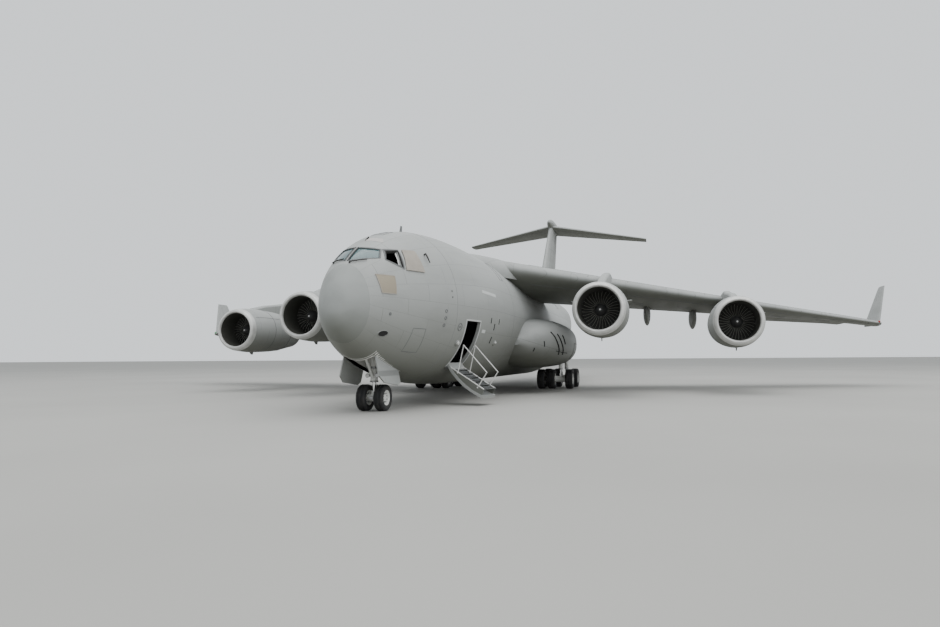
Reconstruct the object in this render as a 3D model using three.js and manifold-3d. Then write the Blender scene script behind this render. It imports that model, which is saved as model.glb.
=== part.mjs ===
// A four-engined, high-winged military transport plane, parked on its gear with the crew door down.
// X points to port, Y runs aft and Z is up. The origin is on the ground under the middle of the plane's box.
// Every size below is the full-size plane's, in metres. SCALE makes the half-size model, M its millimetres.
import * as THREE from "three";
import { mergeVertices } from "three/addons/utils/BufferGeometryUtils.js";
import Module from "manifold-3d";

const wasm = await Module();
wasm.setup();

const SCALE = 0.5;
const M = 1000 * SCALE;

// The real plane's length, the gap between seated pieces and round moving ones, and the skin's thickness
const LENGTH = 53.04;
const SEAT = 0.0006;
const RUNNING = 0.012;
const WALL = 0.14;
const FAR = 60;

// Body sections: station aft of the nose, half width, and heights of the crown, the keel and the widest line
const BODY = [
  [0.0, 0.0, 3.62, 3.62, 3.62],
  [0.08, 0.31, 4.18, 3.27, 3.66],
  [0.3, 0.6, 4.69, 2.95, 3.76],
  [0.8, 0.98, 5.33, 2.53, 3.88],
  [1.6, 1.38, 5.97, 2.1, 4.0],
  [2.4, 1.69, 6.42, 1.79, 4.06],
  [3.2, 1.96, 6.77, 1.55, 4.1],
  [4.0, 2.21, 7.03, 1.36, 4.13],
  [5.0, 2.5, 7.28, 1.17, 4.16],
  [6.0, 2.77, 7.45, 1.02, 4.18],
  [8.0, 3.16, 7.6, 0.85, 4.2],
  [10.0, 3.38, 7.63, 0.78, 4.2],
  [12.0, 3.43, 7.63, 0.77, 4.2],
  [20.0, 3.43, 7.63, 0.77, 4.2],
  [31.0, 3.43, 7.63, 0.77, 4.2],
  [34.0, 3.4, 7.63, 1.15, 4.3],
  [37.5, 3.24, 7.62, 2.15, 4.7],
  [41.0, 2.85, 7.59, 3.4, 5.3],
  [44.5, 2.15, 7.52, 4.75, 6.1],
  [47.3, 1.2, 7.38, 5.9, 6.68],
  [48.5, 0.55, 7.2, 6.5, 6.9],
];
const BODY_SIDES = 36;
const INNER_SIDES = 20;

// Where the body's sections meet
const RADOME_END = 0.8;
const COCKPIT_END = 5.6;
const FORWARD_END = 13.0;
const AFT_START = 30.0;
const TAIL_CONE_START = 43.4;
const BODY_END = 48.5;

const FLOOR_TOP = 1.63;
const FLOOR_THICK = 0.15;
const DECK_TOP = 4.5;

// Wing: its leading edge, chord and height run straight from the centreline to the tip
const WING = { le: 13.16, sweep: 0.542, chord: 10.9, tipChord: 3.1, span: 25.15, z: 7.33, drop: 0.126 };
const WING_THICK = { root: 0.15, tip: 0.105 };
const WING_STATIONS = [0.004, 3.5, 8.0, 14.9, 20.0, 24.4, 25.15];

// Drop of the trailing edge below the leading edge at the centreline, and where along the span that fades out
const TWIST = { drop: 1.27, fadesAt: 22.5 };

// Flight surfaces on the wing: share of the chord where they start, and span from and to
const SURFACE_LINE = 0.74;
const FLAPS = { inner: [4.7, 11.4], outer: [11.4, 17.3] };
const AILERON = [17.5, 23.4];

// How far the ailerons hang down at rest, in degrees
const AILERON_DROOP = 12;

// Flap hinge fairings: places along the span, half width, height and length, and drop below the hinge line
const FAIRINGS = { inner: [6.0, 10.1], outer: [13.1, 16.2] };
const FAIRING = { half: 0.24, high: 0.75, long: 2.3, drop: 0.65 };

// Flap hinges: drop of the pin below the flap's front, radius of the lugs and thickness of each
const FLAP_HINGE = { drop: 1.15, radius: 0.1, thick: 0.07 };

// Winglet: height above the tip and its outward lean
const WINGLET = { height: 2.6, lean: 0.82, tipChord: 1.15, sweepBack: 1.3, thick: 0.09, inset: 0.14 };

// Engines: distance from the centreline, height of the axis, and how far the lip sits ahead of the wing
const ENGINES = [
  { name: "inner", x: 7.97, z: 4.38, ahead: 6.27 },
  { name: "outer", x: 14.9, z: 3.88, ahead: 5.92 },
];
const FAN_R = 0.975;
const FAN_BACK = 1.7;
const NACELLE_SIDES = 22;
const CORE_SIDES = 12;

// Fin: height, leading edge and chord at its foot and top, and the rudders' heights
const FIN = { foot: 7.0, top: 16.1, leFoot: 39.1, leTop: 47.0, chordFoot: 9.2, chordTop: 4.6, thick: 0.11 };
const RUDDERS = { lower: [8.55, 11.95], upper: [12.05, 15.4] };
const RUDDER_LINE = 0.68;

// Tailplane and the bullet where it crosses the fin
const TAILPLANE = {
  span: 9.9, le: 46.88, sweep: 0.42, chord: 5.5, tipChord: 2.0, z: 15.95, drop: 0.105, thick: 0.1,
};
const ELEVATOR = [0.95, 9.3];
const ELEVATOR_LINE = 0.7;
const BULLET = { from: 45.9, to: 52.3, half: 0.42, z: 16.25, high: 0.54 };

// Radius of the end pins that carry the ailerons, elevators and rudders
const PIN_R = 0.05;

// Landing gear: stations, tracks and tyres, with the bay and slots that the legs stand in
const NOSE_GEAR = { y: 3.35, tyreR: 0.508, tyreW: 0.4, half: 0.36 };
const NOSE_BAY = { half: 0.62, ahead: 1.35, behind: 0.62, roof: 2.5, wall: 0.15 };
const MAIN_GEAR = { ys: [22.0, 24.82], legX: 4.55, wheels: [3.3, 3.97, 5.13], tyreR: 0.635, tyreW: 0.5 };
const LEG_SLOT = { half: 0.25, long: 0.4, roof: 2.25 };

// Share of a wheel's half width where its hub face lies
const HUB_FACE = 0.7;
const AXLE_R = 0.085;
const BORE_R = 0.09;
const WHEEL_SIDES = 16;
const BORE_SIDES = 12;
const POD = { from: 14.6, to: 31.4, x: 3.1, half: 2.5, z: 2.9, high: 1.5 };

// Crew door in the port side, hinged at its sill along the skin and let down as a stair
const CREW_DOOR = { from: 6.62, to: 7.88, sill: 1.66, head: 3.6, open: 101, thick: 0.11, proud: 0.03 };

// Opening under the tail: half widths ahead and aft, where the ramp starts and ends, and where the door ends
const OPENING = { half: 2.55, aftHalf: 1.55, rampStart: 31.0, rampEnd: 37.0, doorEnd: 42.2 };

// The ramp's outline from the side, aft end sloped so that it swings past the cargo door
const RAMP_SIDE = [
  [31.012, 0], [36.955, 0], [36.955, 2.08], [36.79, 2.42], [36.6, 2.9], [36.45, 3.3], [31.012, 3.3],
];
const RAMP_TOP = [[31.0, 0], [31.0, 1.63], [36.6, 2.9], [36.955, 2.9], [36.955, 0]];
const SHELL = 0.2;

// The cargo door's hinge at its aft end: lugs stand on the tail's bulkhead and arms on the door
const CARGO_PIN = { y: 42.2, z: 4.55, x: 1.0, thick: 0.08 };
const CARGO_LUG = [[42.1, 4.5], [42.3, 4.44], [43.3, 4.75], [43.3, 5.1], [42.3, 4.66], [42.1, 4.62]];
const CARGO_ARM = [
  [41.3, 3.75], [42.14, 4.05], [42.3, 4.5], [42.26, 4.62], [42.12, 4.66], [41.8, 4.5], [41.2, 4.0],
];

// A closed solid from any closed geometry
function solid(geometry) {
  const bare = new THREE.BufferGeometry();
  bare.setAttribute("position", geometry.getAttribute("position"));
  bare.setIndex(geometry.index);
  const merged = mergeVertices(bare, 1e-3);
  const corners = merged.index.array;
  const triVerts = [];
  for (let i = 0; i < corners.length; i += 3) {
    const [a, b, c] = [corners[i], corners[i + 1], corners[i + 2]];
    if (a !== b && b !== c && c !== a) triVerts.push(a, b, c);
  }
  const vertProperties = merged.getAttribute("position").array;
  const mesh = new wasm.Mesh({ numProp: 3, vertProperties, triVerts: new Uint32Array(triVerts) });
  return new wasm.Manifold(mesh);
}

// The geometry of a solid
function geometryOf(body) {
  const { vertProperties, triVerts } = body.getMesh();
  const geometry = new THREE.BufferGeometry();
  geometry.setAttribute("position", new THREE.BufferAttribute(vertProperties, 3));
  geometry.setIndex(new THREE.BufferAttribute(triVerts, 1));
  return geometry;
}

// Triangles that close a flat ring of points
function capFaces(ring, start, flip) {
  const normal = new THREE.Vector3();
  ring.forEach((p, i) => {
    const q = ring[(i + 1) % ring.length];
    normal.x += (p.y - q.y) * (p.z + q.z);
    normal.y += (p.z - q.z) * (p.x + q.x);
    normal.z += (p.x - q.x) * (p.y + q.y);
  });
  if (normal.length() === 0) return [];
  normal.normalize();
  const side = Math.abs(normal.x) < 0.9 ? new THREE.Vector3(1, 0, 0) : new THREE.Vector3(0, 1, 0);
  const u = side.cross(normal).normalize();
  const v = normal.clone().cross(u);
  const flat = ring.map((p) => new THREE.Vector2(p.dot(u), p.dot(v)));
  return THREE.ShapeUtils.triangulateShape(flat, []).flatMap((face) => {
    const [a, b, c] = face.map((k) => flat[k]);
    const turn = (b.x - a.x) * (c.y - a.y) - (b.y - a.y) * (c.x - a.x);
    const order = turn > 0 !== flip ? face : [face[0], face[2], face[1]];
    return order.map((k) => k + start);
  });
}

// A closed solid through rings that all have the same number of points
function loft(rings) {
  const n = rings[0].length;
  const faces = [];
  for (let r = 0; r + 1 < rings.length; r += 1) {
    for (let i = 0; i < n; i += 1) {
      const [a, b] = [r * n + i, r * n + ((i + 1) % n)];
      faces.push(a, b, b + n, a, b + n, a + n);
    }
  }
  faces.push(...capFaces(rings[0], 0, true));
  faces.push(...capFaces(rings.at(-1), (rings.length - 1) * n, false));
  const geometry = new THREE.BufferGeometry();
  const places = new Float32Array(rings.flat().flatMap((p) => [p.x * M, p.y * M, p.z * M]));
  geometry.setAttribute("position", new THREE.BufferAttribute(places, 3));
  geometry.setIndex(faces);
  const made = solid(geometry);
  if (made.volume() > 0) return made;
  for (let i = 0; i < faces.length; i += 3) [faces[i + 1], faces[i + 2]] = [faces[i + 2], faces[i + 1]];
  geometry.setIndex(faces);
  return solid(geometry);
}

const point = (x, y, z) => new THREE.Vector3(x, y, z);
const mix = (a, b, t) => a + (b - a) * t;

// A box between two corners
function box(x0, x1, y0, y1, z0, z1) {
  const geometry = new THREE.BoxGeometry((x1 - x0) * M, (y1 - y0) * M, (z1 - z0) * M);
  geometry.translate(((x0 + x1) / 2) * M, ((y0 + y1) / 2) * M, ((z0 + z1) / 2) * M);
  return solid(geometry);
}

// A flat outline pushed along a straight line: outline in the frame's second and third directions
function prism(frame, outline, from, to) {
  const shape = new THREE.Shape(outline.map(([v, w]) => new THREE.Vector2(v * M, w * M)));
  const geometry = new THREE.ExtrudeGeometry(shape, { depth: (to - from) * M, bevelEnabled: false });
  geometry.translate(0, 0, from * M);
  geometry.applyMatrix4(frame);
  return solid(geometry);
}

// A frame at a point, with its first direction along a line and its third as near up as can be
function frameAlong(origin, along, up) {
  const u = along.clone().normalize();
  const v = up.clone().cross(u).normalize();
  const w = u.clone().cross(v);
  const frame = new THREE.Matrix4().makeBasis(v, w, u);
  return frame.setPosition(origin.x * M, origin.y * M, origin.z * M);
}

const ACROSS = frameAlong(point(0, 0, 0), point(1, 0, 0), point(0, 0, 1));

// A round bar between two points
function bar(a, b, radius, sides = 12) {
  const along = b.clone().sub(a);
  const geometry = new THREE.CylinderGeometry(radius * M, radius * M, along.length() * M, sides);
  const turn = new THREE.Quaternion().setFromUnitVectors(point(0, 1, 0), along.clone().normalize());
  const middle = a.clone().lerp(b, 0.5);
  geometry.applyQuaternion(turn);
  geometry.translate(middle.x * M, middle.y * M, middle.z * M);
  return solid(geometry);
}

// A solid turned round an axis along Y or X, from a profile of radius and distance
function turned(profile, sides, centre, alongX = false) {
  const outline = profile.map(([r, s]) => new THREE.Vector2(r * M, s * M));
  const geometry = new THREE.LatheGeometry(outline, sides);
  if (alongX) geometry.rotateZ(-Math.PI / 2);
  geometry.translate(centre.x * M, centre.y * M, centre.z * M);
  const made = solid(geometry);
  if (made.volume() > 0) return made;
  const flipped = geometry.toNonIndexed();
  const place = flipped.getAttribute("position");
  for (let i = 0; i < place.count; i += 3) {
    const b = new THREE.Vector3().fromBufferAttribute(place, i + 1);
    const c = new THREE.Vector3().fromBufferAttribute(place, i + 2);
    place.setXYZ(i + 1, c.x, c.y, c.z);
    place.setXYZ(i + 2, b.x, b.y, b.z);
  }
  return solid(flipped);
}

const joined = (...bodies) => bodies.flat().reduce((a, b) => a.add(b));

// The same solid on the other side of the centreline
function mirrored(body) {
  const geometry = geometryOf(body).toNonIndexed();
  const place = geometry.getAttribute("position");
  for (let i = 0; i < place.count; i += 3) {
    const [a, b, c] = [0, 1, 2].map((k) => new THREE.Vector3().fromBufferAttribute(place, i + k));
    place.setXYZ(i, -a.x, a.y, a.z);
    place.setXYZ(i + 1, -c.x, c.y, c.z);
    place.setXYZ(i + 2, -b.x, b.y, b.z);
  }
  return solid(geometry);
}

// Only the pieces of a solid that are larger than a scrap
function withoutScraps(body, least = 0.002) {
  const pieces = body.decompose().filter((piece) => piece.volume() > least * M ** 3);
  return joined(pieces);
}

// A body section's sizes at any station, on a smooth curve through the table
function sectionAt(y) {
  const i = Math.max(1, BODY.findIndex((row) => row[0] >= y - 1e-9));
  const [low, high] = [BODY[i - 1], BODY[i]];
  const span = high[0] - low[0];
  const t = (y - low[0]) / span;
  const slope = (row, k) => {
    const [before, here, after] = [BODY[row - 1], BODY[row], BODY[row + 1]];
    if (!before || !after) return (high[k] - low[k]) / span;
    const a = (here[k] - before[k]) / (here[0] - before[0]);
    const b = (after[k] - here[k]) / (after[0] - here[0]);
    return a * b <= 0 ? 0 : (2 * a * b) / (a + b);
  };
  return [1, 2, 3, 4].map((k) => {
    if (i === 1) return mix(low[k], high[k], Math.sqrt(t));
    const [m0, m1] = [slope(i - 1, k) * span, slope(i, k) * span];
    const [t2, t3] = [t * t, t * t * t];
    const rise = 3 * t2 - 2 * t3;
    return mix(low[k], high[k], rise) + (t3 - 2 * t2 + t) * m0 + (t3 - t2) * m1;
  });
}

// The body between two stations, drawn in from its skin by an inset
const EXTRA_STATIONS = [0.5, 32.5, 35.7, 39.2, 46.0];
const STATIONS = [
  ...BODY.map((row) => row[0]), ...EXTRA_STATIONS, COCKPIT_END, FORWARD_END, AFT_START, TAIL_CONE_START,
].sort((a, b) => a - b);
const STATION_GAP = 0.01;

function hull(inset, from, to, sides = BODY_SIDES) {
  const between = STATIONS.filter((y) => y > from + STATION_GAP && y < to - STATION_GAP);
  return loft([from, ...between, to].map((y) => {
    const [half, crown, keel, waist] = sectionAt(y);
    const reach = half === 0 ? 0 : half - inset;
    return Array.from({ length: sides }, (_, i) => {
      const angle = (2 * Math.PI * i) / sides;
      const high = half === 0 ? 0 : Math.sin(angle) > 0 ? crown - waist - inset : waist - keel - inset;
      return point(reach * Math.cos(angle), y, waist + high * Math.sin(angle));
    });
  }));
}

// The body's wall between two stations, with a seat's gap at each end
function wall(from, to) {
  const inner = hull(WALL, from - 0.5, to + 0.5, INNER_SIDES);
  return hull(0, from + SEAT / 2, to - SEAT / 2).subtract(inner);
}

// A thin-tailed streamlined section: half thickness at a share of the chord, for a section one chord long
function halfThick(share) {
  const s = Math.sqrt(share);
  return 5 * (0.2969 * s - share * (0.126 + share * (0.3516 - share * (0.2843 - 0.1036 * share))));
}
const SHARES = [1, 0.87, 0.74, 0.55, 0.35, 0.18, 0.07, 0.018, 0, 0.018, 0.07, 0.18, 0.35, 0.55, 0.74, 0.87];

// One ring of a wing-like piece: place gives a point from the distance aft of the edge and to one side
function foilRing(chord, thick, grow, place) {
  return SHARES.map((share, i) => {
    const side = i > 0 && i < 8 ? 1 : i > 8 ? -1 : 0;
    const edge = share === 1 ? grow : share === 0 ? -grow : 0;
    return place(share * chord + edge, side * (halfThick(share) * thick * chord + 0.006 + grow));
  });
}

// Wing
const wingLe = (x) => WING.le + WING.sweep * x;
const wingZ = (x) => WING.z - WING.drop * x;
const wingChord = (x) => mix(WING.chord, WING.tipChord, x / WING.span);
const wingThick = (x) => mix(WING_THICK.root, WING_THICK.tip, x / WING.span);
const edgeDrop = (x) => TWIST.drop * Math.max(0, 1 - x / TWIST.fadesAt);
const wingPlace = (x, aft, up) => {
  const sag = (edgeDrop(x) * aft) / wingChord(x);
  return point(x, wingLe(x) + aft, wingZ(x) + up - sag);
};

function wingBody(grow = 0) {
  const rings = WING_STATIONS.map((x, i) => {
    const last = i === WING_STATIONS.length - 1;
    const reach = i === 0 ? x - grow : last ? x + grow : x;
    const place = (aft, up) => wingPlace(x, aft, up).setX(reach);
    return foilRing(wingChord(x), wingThick(x), grow, place);
  });
  return loft(rings);
}

function wingletBody() {
  const x0 = WING.span;
  const rings = [-0.12, 0, 0.25, 1].map((t) => {
    const chord = mix(WING.tipChord, WINGLET.tipChord, Math.max(t, 0));
    const rise = Math.max(t, 0) * WINGLET.height;
    const out = t <= 0 ? 0 : WINGLET.lean * t;
    const le = wingLe(x0) + (t <= 0 ? 0 : WINGLET.sweepBack * t);
    return foilRing(chord, WINGLET.thick, 0, (aft, side) => point(
      x0 + out - side - WINGLET.inset, le + aft, wingZ(x0) + rise + Math.min(t, 0),
    ));
  });
  return loft(rings);
}

// The hinge line of the wing's trailing surfaces, as a frame whose first direction runs outboard along it
const hingePoint = (x) => wingPlace(x, SURFACE_LINE * wingChord(x), 0);
const hingeAlong = hingePoint(20).sub(hingePoint(4));
const hingeStep = hingeAlong.clone().normalize().x;
const wingHinge = frameAlong(hingePoint(0), hingeAlong, point(0, 0, 1));
const spanAlong = (span, step) => span.map((x) => x / step);

// What lies aft of a hinge line, with a round front of the given radius
function aftOfRound(radius, depth) {
  const turns = Array.from({ length: 13 }, (_, i) => Math.PI / 2 + (Math.PI * i) / 12);
  const front = turns.map((a) => [radius * Math.cos(a), radius * Math.sin(a)]);
  return [[depth, radius], ...front, [depth, -radius]];
}
const aftOfFlat = (start, depth, half) => [[depth, half], [start, half], [start, -half], [depth, -half]];

// A solid turned about a frame's first direction, so that what lies aft of it goes up
function turnedAbout(body, frame, angle) {
  const turn = new THREE.Matrix4().makeRotationZ(angle);
  const placed = frame.clone().multiply(turn).multiply(frame.clone().invert());
  return solid(geometryOf(body).applyMatrix4(placed));
}

// Pins on a hinge line that reach from a surface's two end faces to the ribs beside them
function endPins(frame, [from, to]) {
  const origin = new THREE.Vector3().setFromMatrixPosition(frame).divideScalar(M);
  const along = new THREE.Vector3().setFromMatrixColumn(frame, 2);
  const at = (far) => origin.clone().addScaledVector(along, far);
  return [[from + SEAT, from + 0.1], [to - 0.1, to - SEAT]].map(([a, b]) => bar(at(a), at(b), PIN_R, 8));
}

// A hinge fairing under the wing, long along the stream, with room round the flap's pin
const flapPin = frameAlong(hingePoint(0), hingeAlong, point(0, 0, 1))
  .multiply(new THREE.Matrix4().makeTranslation(0, -FLAP_HINGE.drop * M, 0));
const ring = (radius, sides) => Array.from({ length: sides }, (_, i) => {
  const angle = (2 * Math.PI * i) / sides;
  return [radius * Math.cos(angle), radius * Math.sin(angle)];
});

function flapFairing(x) {
  const geometry = new THREE.SphereGeometry(1, 8, 8);
  geometry.scale(FAIRING.half * M, FAIRING.high * M, FAIRING.long * M);
  geometry.rotateX(Math.PI / 2);
  const middle = hingePoint(x);
  geometry.translate(middle.x * M, middle.y * M, (middle.z - FAIRING.drop) * M);
  const along = x / hingeStep;
  const room = prism(flapPin, ring(FLAP_HINGE.radius + 2 * RUNNING, 10), along - 1, along + 1);
  return solid(geometry).subtract(room);
}

// One lug of a flap's hinge: side is 1 for the flap's lug and -1 for the wing's
function flapLug(x, side) {
  const { radius, thick } = FLAP_HINGE;
  const outline = [[2.2, 0.7], [-0.5, 0.86], [-1, 0.3], [-1, -0.3], [-0.5, -0.86], [2.2, -0.7]]
    .map(([v, w]) => [side * v * radius, w * radius]);
  const ends = [side * (SEAT / 2), side * thick].sort((a, b) => a - b);
  const [from, to] = ends.map((end) => x / hingeStep + end);
  return prism(flapPin, outline, from, to);
}

const wingFull = joined(wingBody(), wingletBody());
const wingGrown = wingBody(SEAT);
const wingCutter = joined(wingGrown, mirrored(wingGrown));
const FLAP_REACH = 6;
const FLAP_HALF = 2;

// What a flap may fill: aft of its front, with the part below its pin sloped back so that it can turn down
const flapFront = [
  [FLAP_REACH, FLAP_HALF], [0, FLAP_HALF], [0, -FLAP_HINGE.drop], [FLAP_HALF, -FLAP_HINGE.drop - FLAP_HALF],
  [FLAP_REACH, -FLAP_HINGE.drop - FLAP_HALF],
];

function flap(name) {
  const [from, to] = spanAlong(FLAPS[name], hingeStep);
  const room = prism(wingHinge, flapFront, from + RUNNING, to - RUNNING);
  const parts = FAIRINGS[name].flatMap((x) => [flapFairing(x).intersect(room), flapLug(x, 1)]);
  return joined(wingFull.intersect(room), parts);
}

const aileronSpan = spanAlong(AILERON, hingeStep);
const aileronRadius = wingChord(AILERON[0]) * wingThick(AILERON[0]) * halfThick(SURFACE_LINE) + 0.01;
const AILERON_REACH = 4;

function aileron() {
  const room = prism(
    wingHinge, aftOfRound(aileronRadius, AILERON_REACH), aileronSpan[0] + RUNNING, aileronSpan[1] - RUNNING,
  );
  const panel = joined(wingFull.intersect(room), endPins(wingHinge, aileronSpan));
  return turnedAbout(panel, wingHinge, -THREE.MathUtils.degToRad(AILERON_DROOP));
}

function wing() {
  const flapSpan = spanAlong([FLAPS.inner[0], FLAPS.outer[1]], hingeStep);
  const flapRoom = prism(wingHinge, aftOfFlat(-RUNNING, FLAP_REACH, FLAP_HALF), ...flapSpan);
  const aileronRoom = prism(wingHinge, aftOfRound(aileronRadius + RUNNING, AILERON_REACH), ...aileronSpan);
  const ahead = prism(wingHinge, aftOfFlat(-FLAP_REACH, -RUNNING, FLAP_HALF), 0, WING.span);
  const places = Object.values(FAIRINGS).flat();
  const noses = places.flatMap((x) => [flapFairing(x).intersect(ahead), flapLug(x, -1)]);
  return withoutScraps(joined(wingFull.subtract(flapRoom).subtract(aileronRoom), noses));
}

// Engines
const lipPoint = (engine) => point(engine.x, wingLe(engine.x) - engine.ahead, engine.z);

// A nacelle's ring from the side: radius and distance aft of the lip
const COWL = [[1.13, 0], [1.24, 0.08], [1.33, 0.45], [1.39, 1.5], [1.33, 3.6], [1.0, 6.0]];
const DUCT = [[0.94, 6.0], [1.06, 3.4], [1.0, 1.6], [1.0, 0.6], [1.04, 0.12]];

function nacelle(engine, grow = 0) {
  const profile = [
    ...COWL.map(([r, s]) => [r + grow, s]),
    ...DUCT.map(([r, s]) => [r - grow, s]),
    [COWL[0][0] + grow, 0],
  ];
  return turned(profile, NACELLE_SIDES, lipPoint(engine));
}

// The core behind a fan: a stub shaft, the case, the nozzle's plug, and vanes out to the duct
const SHAFT_R = 0.13;
const SHAFT_TIP = FAN_BACK - 0.47;
const VANE = { at: 2.2, long: 1.2, radius: 0.06 };

function core(engine) {
  const centre = lipPoint(engine);
  const profile = [
    [0, SHAFT_TIP], [SHAFT_R, SHAFT_TIP], [SHAFT_R, FAN_BACK], [0.5, FAN_BACK],
    [0.62, 3.8], [0.4, 6.6], [0.3, 6.6], [0.12, 7.3], [0, 7.3],
  ];
  const root = centre.clone().add(point(0, VANE.at, 0));
  const vanes = [0, 1, 2].map((k) => {
    const angle = Math.PI / 2 + (k * 2 * Math.PI) / 3;
    const reach = point(VANE.long * Math.cos(angle), 0, VANE.long * Math.sin(angle));
    return bar(root, root.clone().add(reach), VANE.radius, 4);
  });
  const duct = turned(
    [[0, 1], [1.0 - SEAT, 1], [1.0 - SEAT, 1.6], [1.06 - SEAT, 3.4], [0, 3.4]], NACELLE_SIDES, centre,
  );
  return joined(turned(profile, CORE_SIDES, centre), joined(vanes).intersect(duct));
}

// A fan: the spinner and hub that turn on the shaft, and the disc of blades
function fan(engine) {
  const centre = lipPoint(engine);
  const [bore, back] = [SHAFT_R + 0.02, FAN_BACK - SEAT];
  const hub = [
    [0, back - 0.75], [0.1, back - 0.71], [0.2, back - 0.59], [0.3, back - 0.41], [0.34, back - 0.25],
    [0.34, back], [bore, back], [bore, SHAFT_TIP - 0.02], [0, SHAFT_TIP - 0.02],
  ];
  const disc = [[0.3, 1.35], [FAN_R, 1.35], [FAN_R, 1.49], [0.3, 1.49], [0.3, 1.35]];
  return joined(turned(hub, CORE_SIDES, centre), turned(disc, NACELLE_SIDES, centre));
}

// A pylon: a plate over the nacelle that wraps the wing's front, hollowed where the duct runs
const PYLON_HALF = 0.23;

function pylon(engine) {
  const lip = lipPoint(engine);
  const [le, chord, z] = [wingLe(engine.x), wingChord(engine.x), wingZ(engine.x)];
  const outline = [
    [lip.y + 1.5, lip.z + 1.2], [lip.y + 1.7, lip.z + 1.45], [lip.y + 3.0, Math.min(lip.z + 1.9, z + 0.15)],
    [le - 1.4, z + 0.34], [le - 0.2, z + 0.55], [le + 1.2, z + 0.5], [le + 0.26 * chord, z + 0.1],
    [le + 0.55 * chord, z - 0.3], [le + 0.55 * chord, z - 1.0], [le + 0.36 * chord, z - 1.25],
    [lip.y + 6.6, lip.z + 0.75], [lip.y + 6.3, lip.z + 0.3], [lip.y + 2.6, lip.z + 0.3],
  ];
  const plate = prism(ACROSS, outline, engine.x - PYLON_HALF, engine.x + PYLON_HALF);
  const inside = [
    [0, 0], [1.3, 0.5], [1.37, 2.0], [1.31, 3.6], [1.15, 5.0], [0.6, 6.0], [0.6, 6.5], [0, 6.5],
  ];
  const cuts = joined(turned(inside, 32, lip), nacelle(engine, SEAT), core(engine), wingGrown);
  return withoutScraps(plate.subtract(cuts));
}

// Tail
const finAt = (z) => {
  const t = (z - FIN.foot) / (FIN.top - FIN.foot);
  return { le: mix(FIN.leFoot, FIN.leTop, t), chord: mix(FIN.chordFoot, FIN.chordTop, t) };
};
function finBody(grow = 0) {
  return loft([FIN.foot, 11.5, FIN.top].map((z) => {
    const { le, chord } = finAt(z);
    return foilRing(chord, FIN.thick, grow, (aft, side) => point(side, le + aft, z));
  }));
}
const finPoint = (z) => point(0, finAt(z).le + RUDDER_LINE * finAt(z).chord, z);
const rudderAlong = finPoint(15).sub(finPoint(8));
const rudderStep = rudderAlong.clone().normalize().z;
const rudderHinge = frameAlong(finPoint(0), rudderAlong, point(-1, 0, 0));
const rudderRadius = finAt(RUDDERS.lower[0]).chord * FIN.thick * halfThick(RUDDER_LINE) + 0.012;
const RUDDER_REACH = 5;

function rudder(name) {
  const [from, to] = spanAlong(RUDDERS[name], rudderStep);
  const room = prism(rudderHinge, aftOfRound(rudderRadius, RUDDER_REACH), from + RUNNING, to - RUNNING);
  return joined(finBody().intersect(room), endPins(rudderHinge, [from, to]));
}

function tailplaneHalf(grow = 0) {
  const { span, le, sweep, chord, tipChord, z, drop, thick } = TAILPLANE;
  return loft([-0.01, 0.6, span].map((x) => {
    const far = Math.max(x, 0);
    const [at, high] = [le + sweep * far, z - drop * far];
    const place = (aft, up) => point(x, at + aft, high + up);
    return foilRing(mix(chord, tipChord, far / span), thick, grow, place);
  }));
}
const tailChord = (x) => mix(TAILPLANE.chord, TAILPLANE.tipChord, x / TAILPLANE.span);
const tailPoint = (x) => point(
  x, TAILPLANE.le + TAILPLANE.sweep * x + ELEVATOR_LINE * tailChord(x), TAILPLANE.z - TAILPLANE.drop * x,
);
const elevatorAlong = tailPoint(9).sub(tailPoint(1));
const elevatorStep = elevatorAlong.clone().normalize().x;
const elevatorHinge = frameAlong(tailPoint(0), elevatorAlong, point(0, 0, 1));
const elevatorSpan = spanAlong(ELEVATOR, elevatorStep);
const ELEVATOR_REACH = 3;
const elevatorRadius = tailChord(ELEVATOR[0]) * TAILPLANE.thick * halfThick(ELEVATOR_LINE) + 0.012;

function bullet(grow = 0) {
  const stations = [0, 0.06, 0.2, 0.45, 0.75, 1];
  const swell = [0.12, 0.55, 0.9, 1, 0.72, 0.2];
  return loft(stations.map((t, i) => Array.from({ length: 16 }, (_, k) => {
    const angle = (2 * Math.PI * k) / 16;
    const [half, high] = [BULLET.half * swell[i] + grow, BULLET.high * swell[i] + grow];
    return point(half * Math.cos(angle), mix(BULLET.from, BULLET.to, t), BULLET.z + high * Math.sin(angle));
  })));
}

function elevator() {
  const round = aftOfRound(elevatorRadius, ELEVATOR_REACH);
  const room = prism(elevatorHinge, round, elevatorSpan[0] + RUNNING, elevatorSpan[1] - RUNNING);
  return joined(tailplaneHalf().intersect(room), endPins(elevatorHinge, elevatorSpan));
}
function tailplane() {
  const room = prism(elevatorHinge, aftOfRound(elevatorRadius + RUNNING, ELEVATOR_REACH), ...elevatorSpan);
  const half = tailplaneHalf().subtract(room);
  return joined(half, mirrored(half), bullet());
}

function fin() {
  const round = aftOfRound(rudderRadius + RUNNING, RUDDER_REACH);
  const spans = Object.values(RUDDERS).map((span) => spanAlong(span, rudderStep));
  const rooms = spans.map((span) => prism(rudderHinge, round, ...span));
  const half = tailplaneHalf(SEAT);
  const cuts = joined(rooms, half, mirrored(half), bullet(SEAT), hull(-SEAT, AFT_START, BODY_END));
  return withoutScraps(finBody().subtract(cuts), 0.05);
}

// Main-gear pods, with slots where the legs stand: station along the pod and swell of the section there
const POD_SWELL = [
  [0, 0.12], [0.03, 0.5], [0.09, 0.8], [0.2, 0.97], [0.33, 1], [0.45, 0.99], [0.64, 0.72], [1, 0.2],
];
const POD_SIDES = 20;

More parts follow.
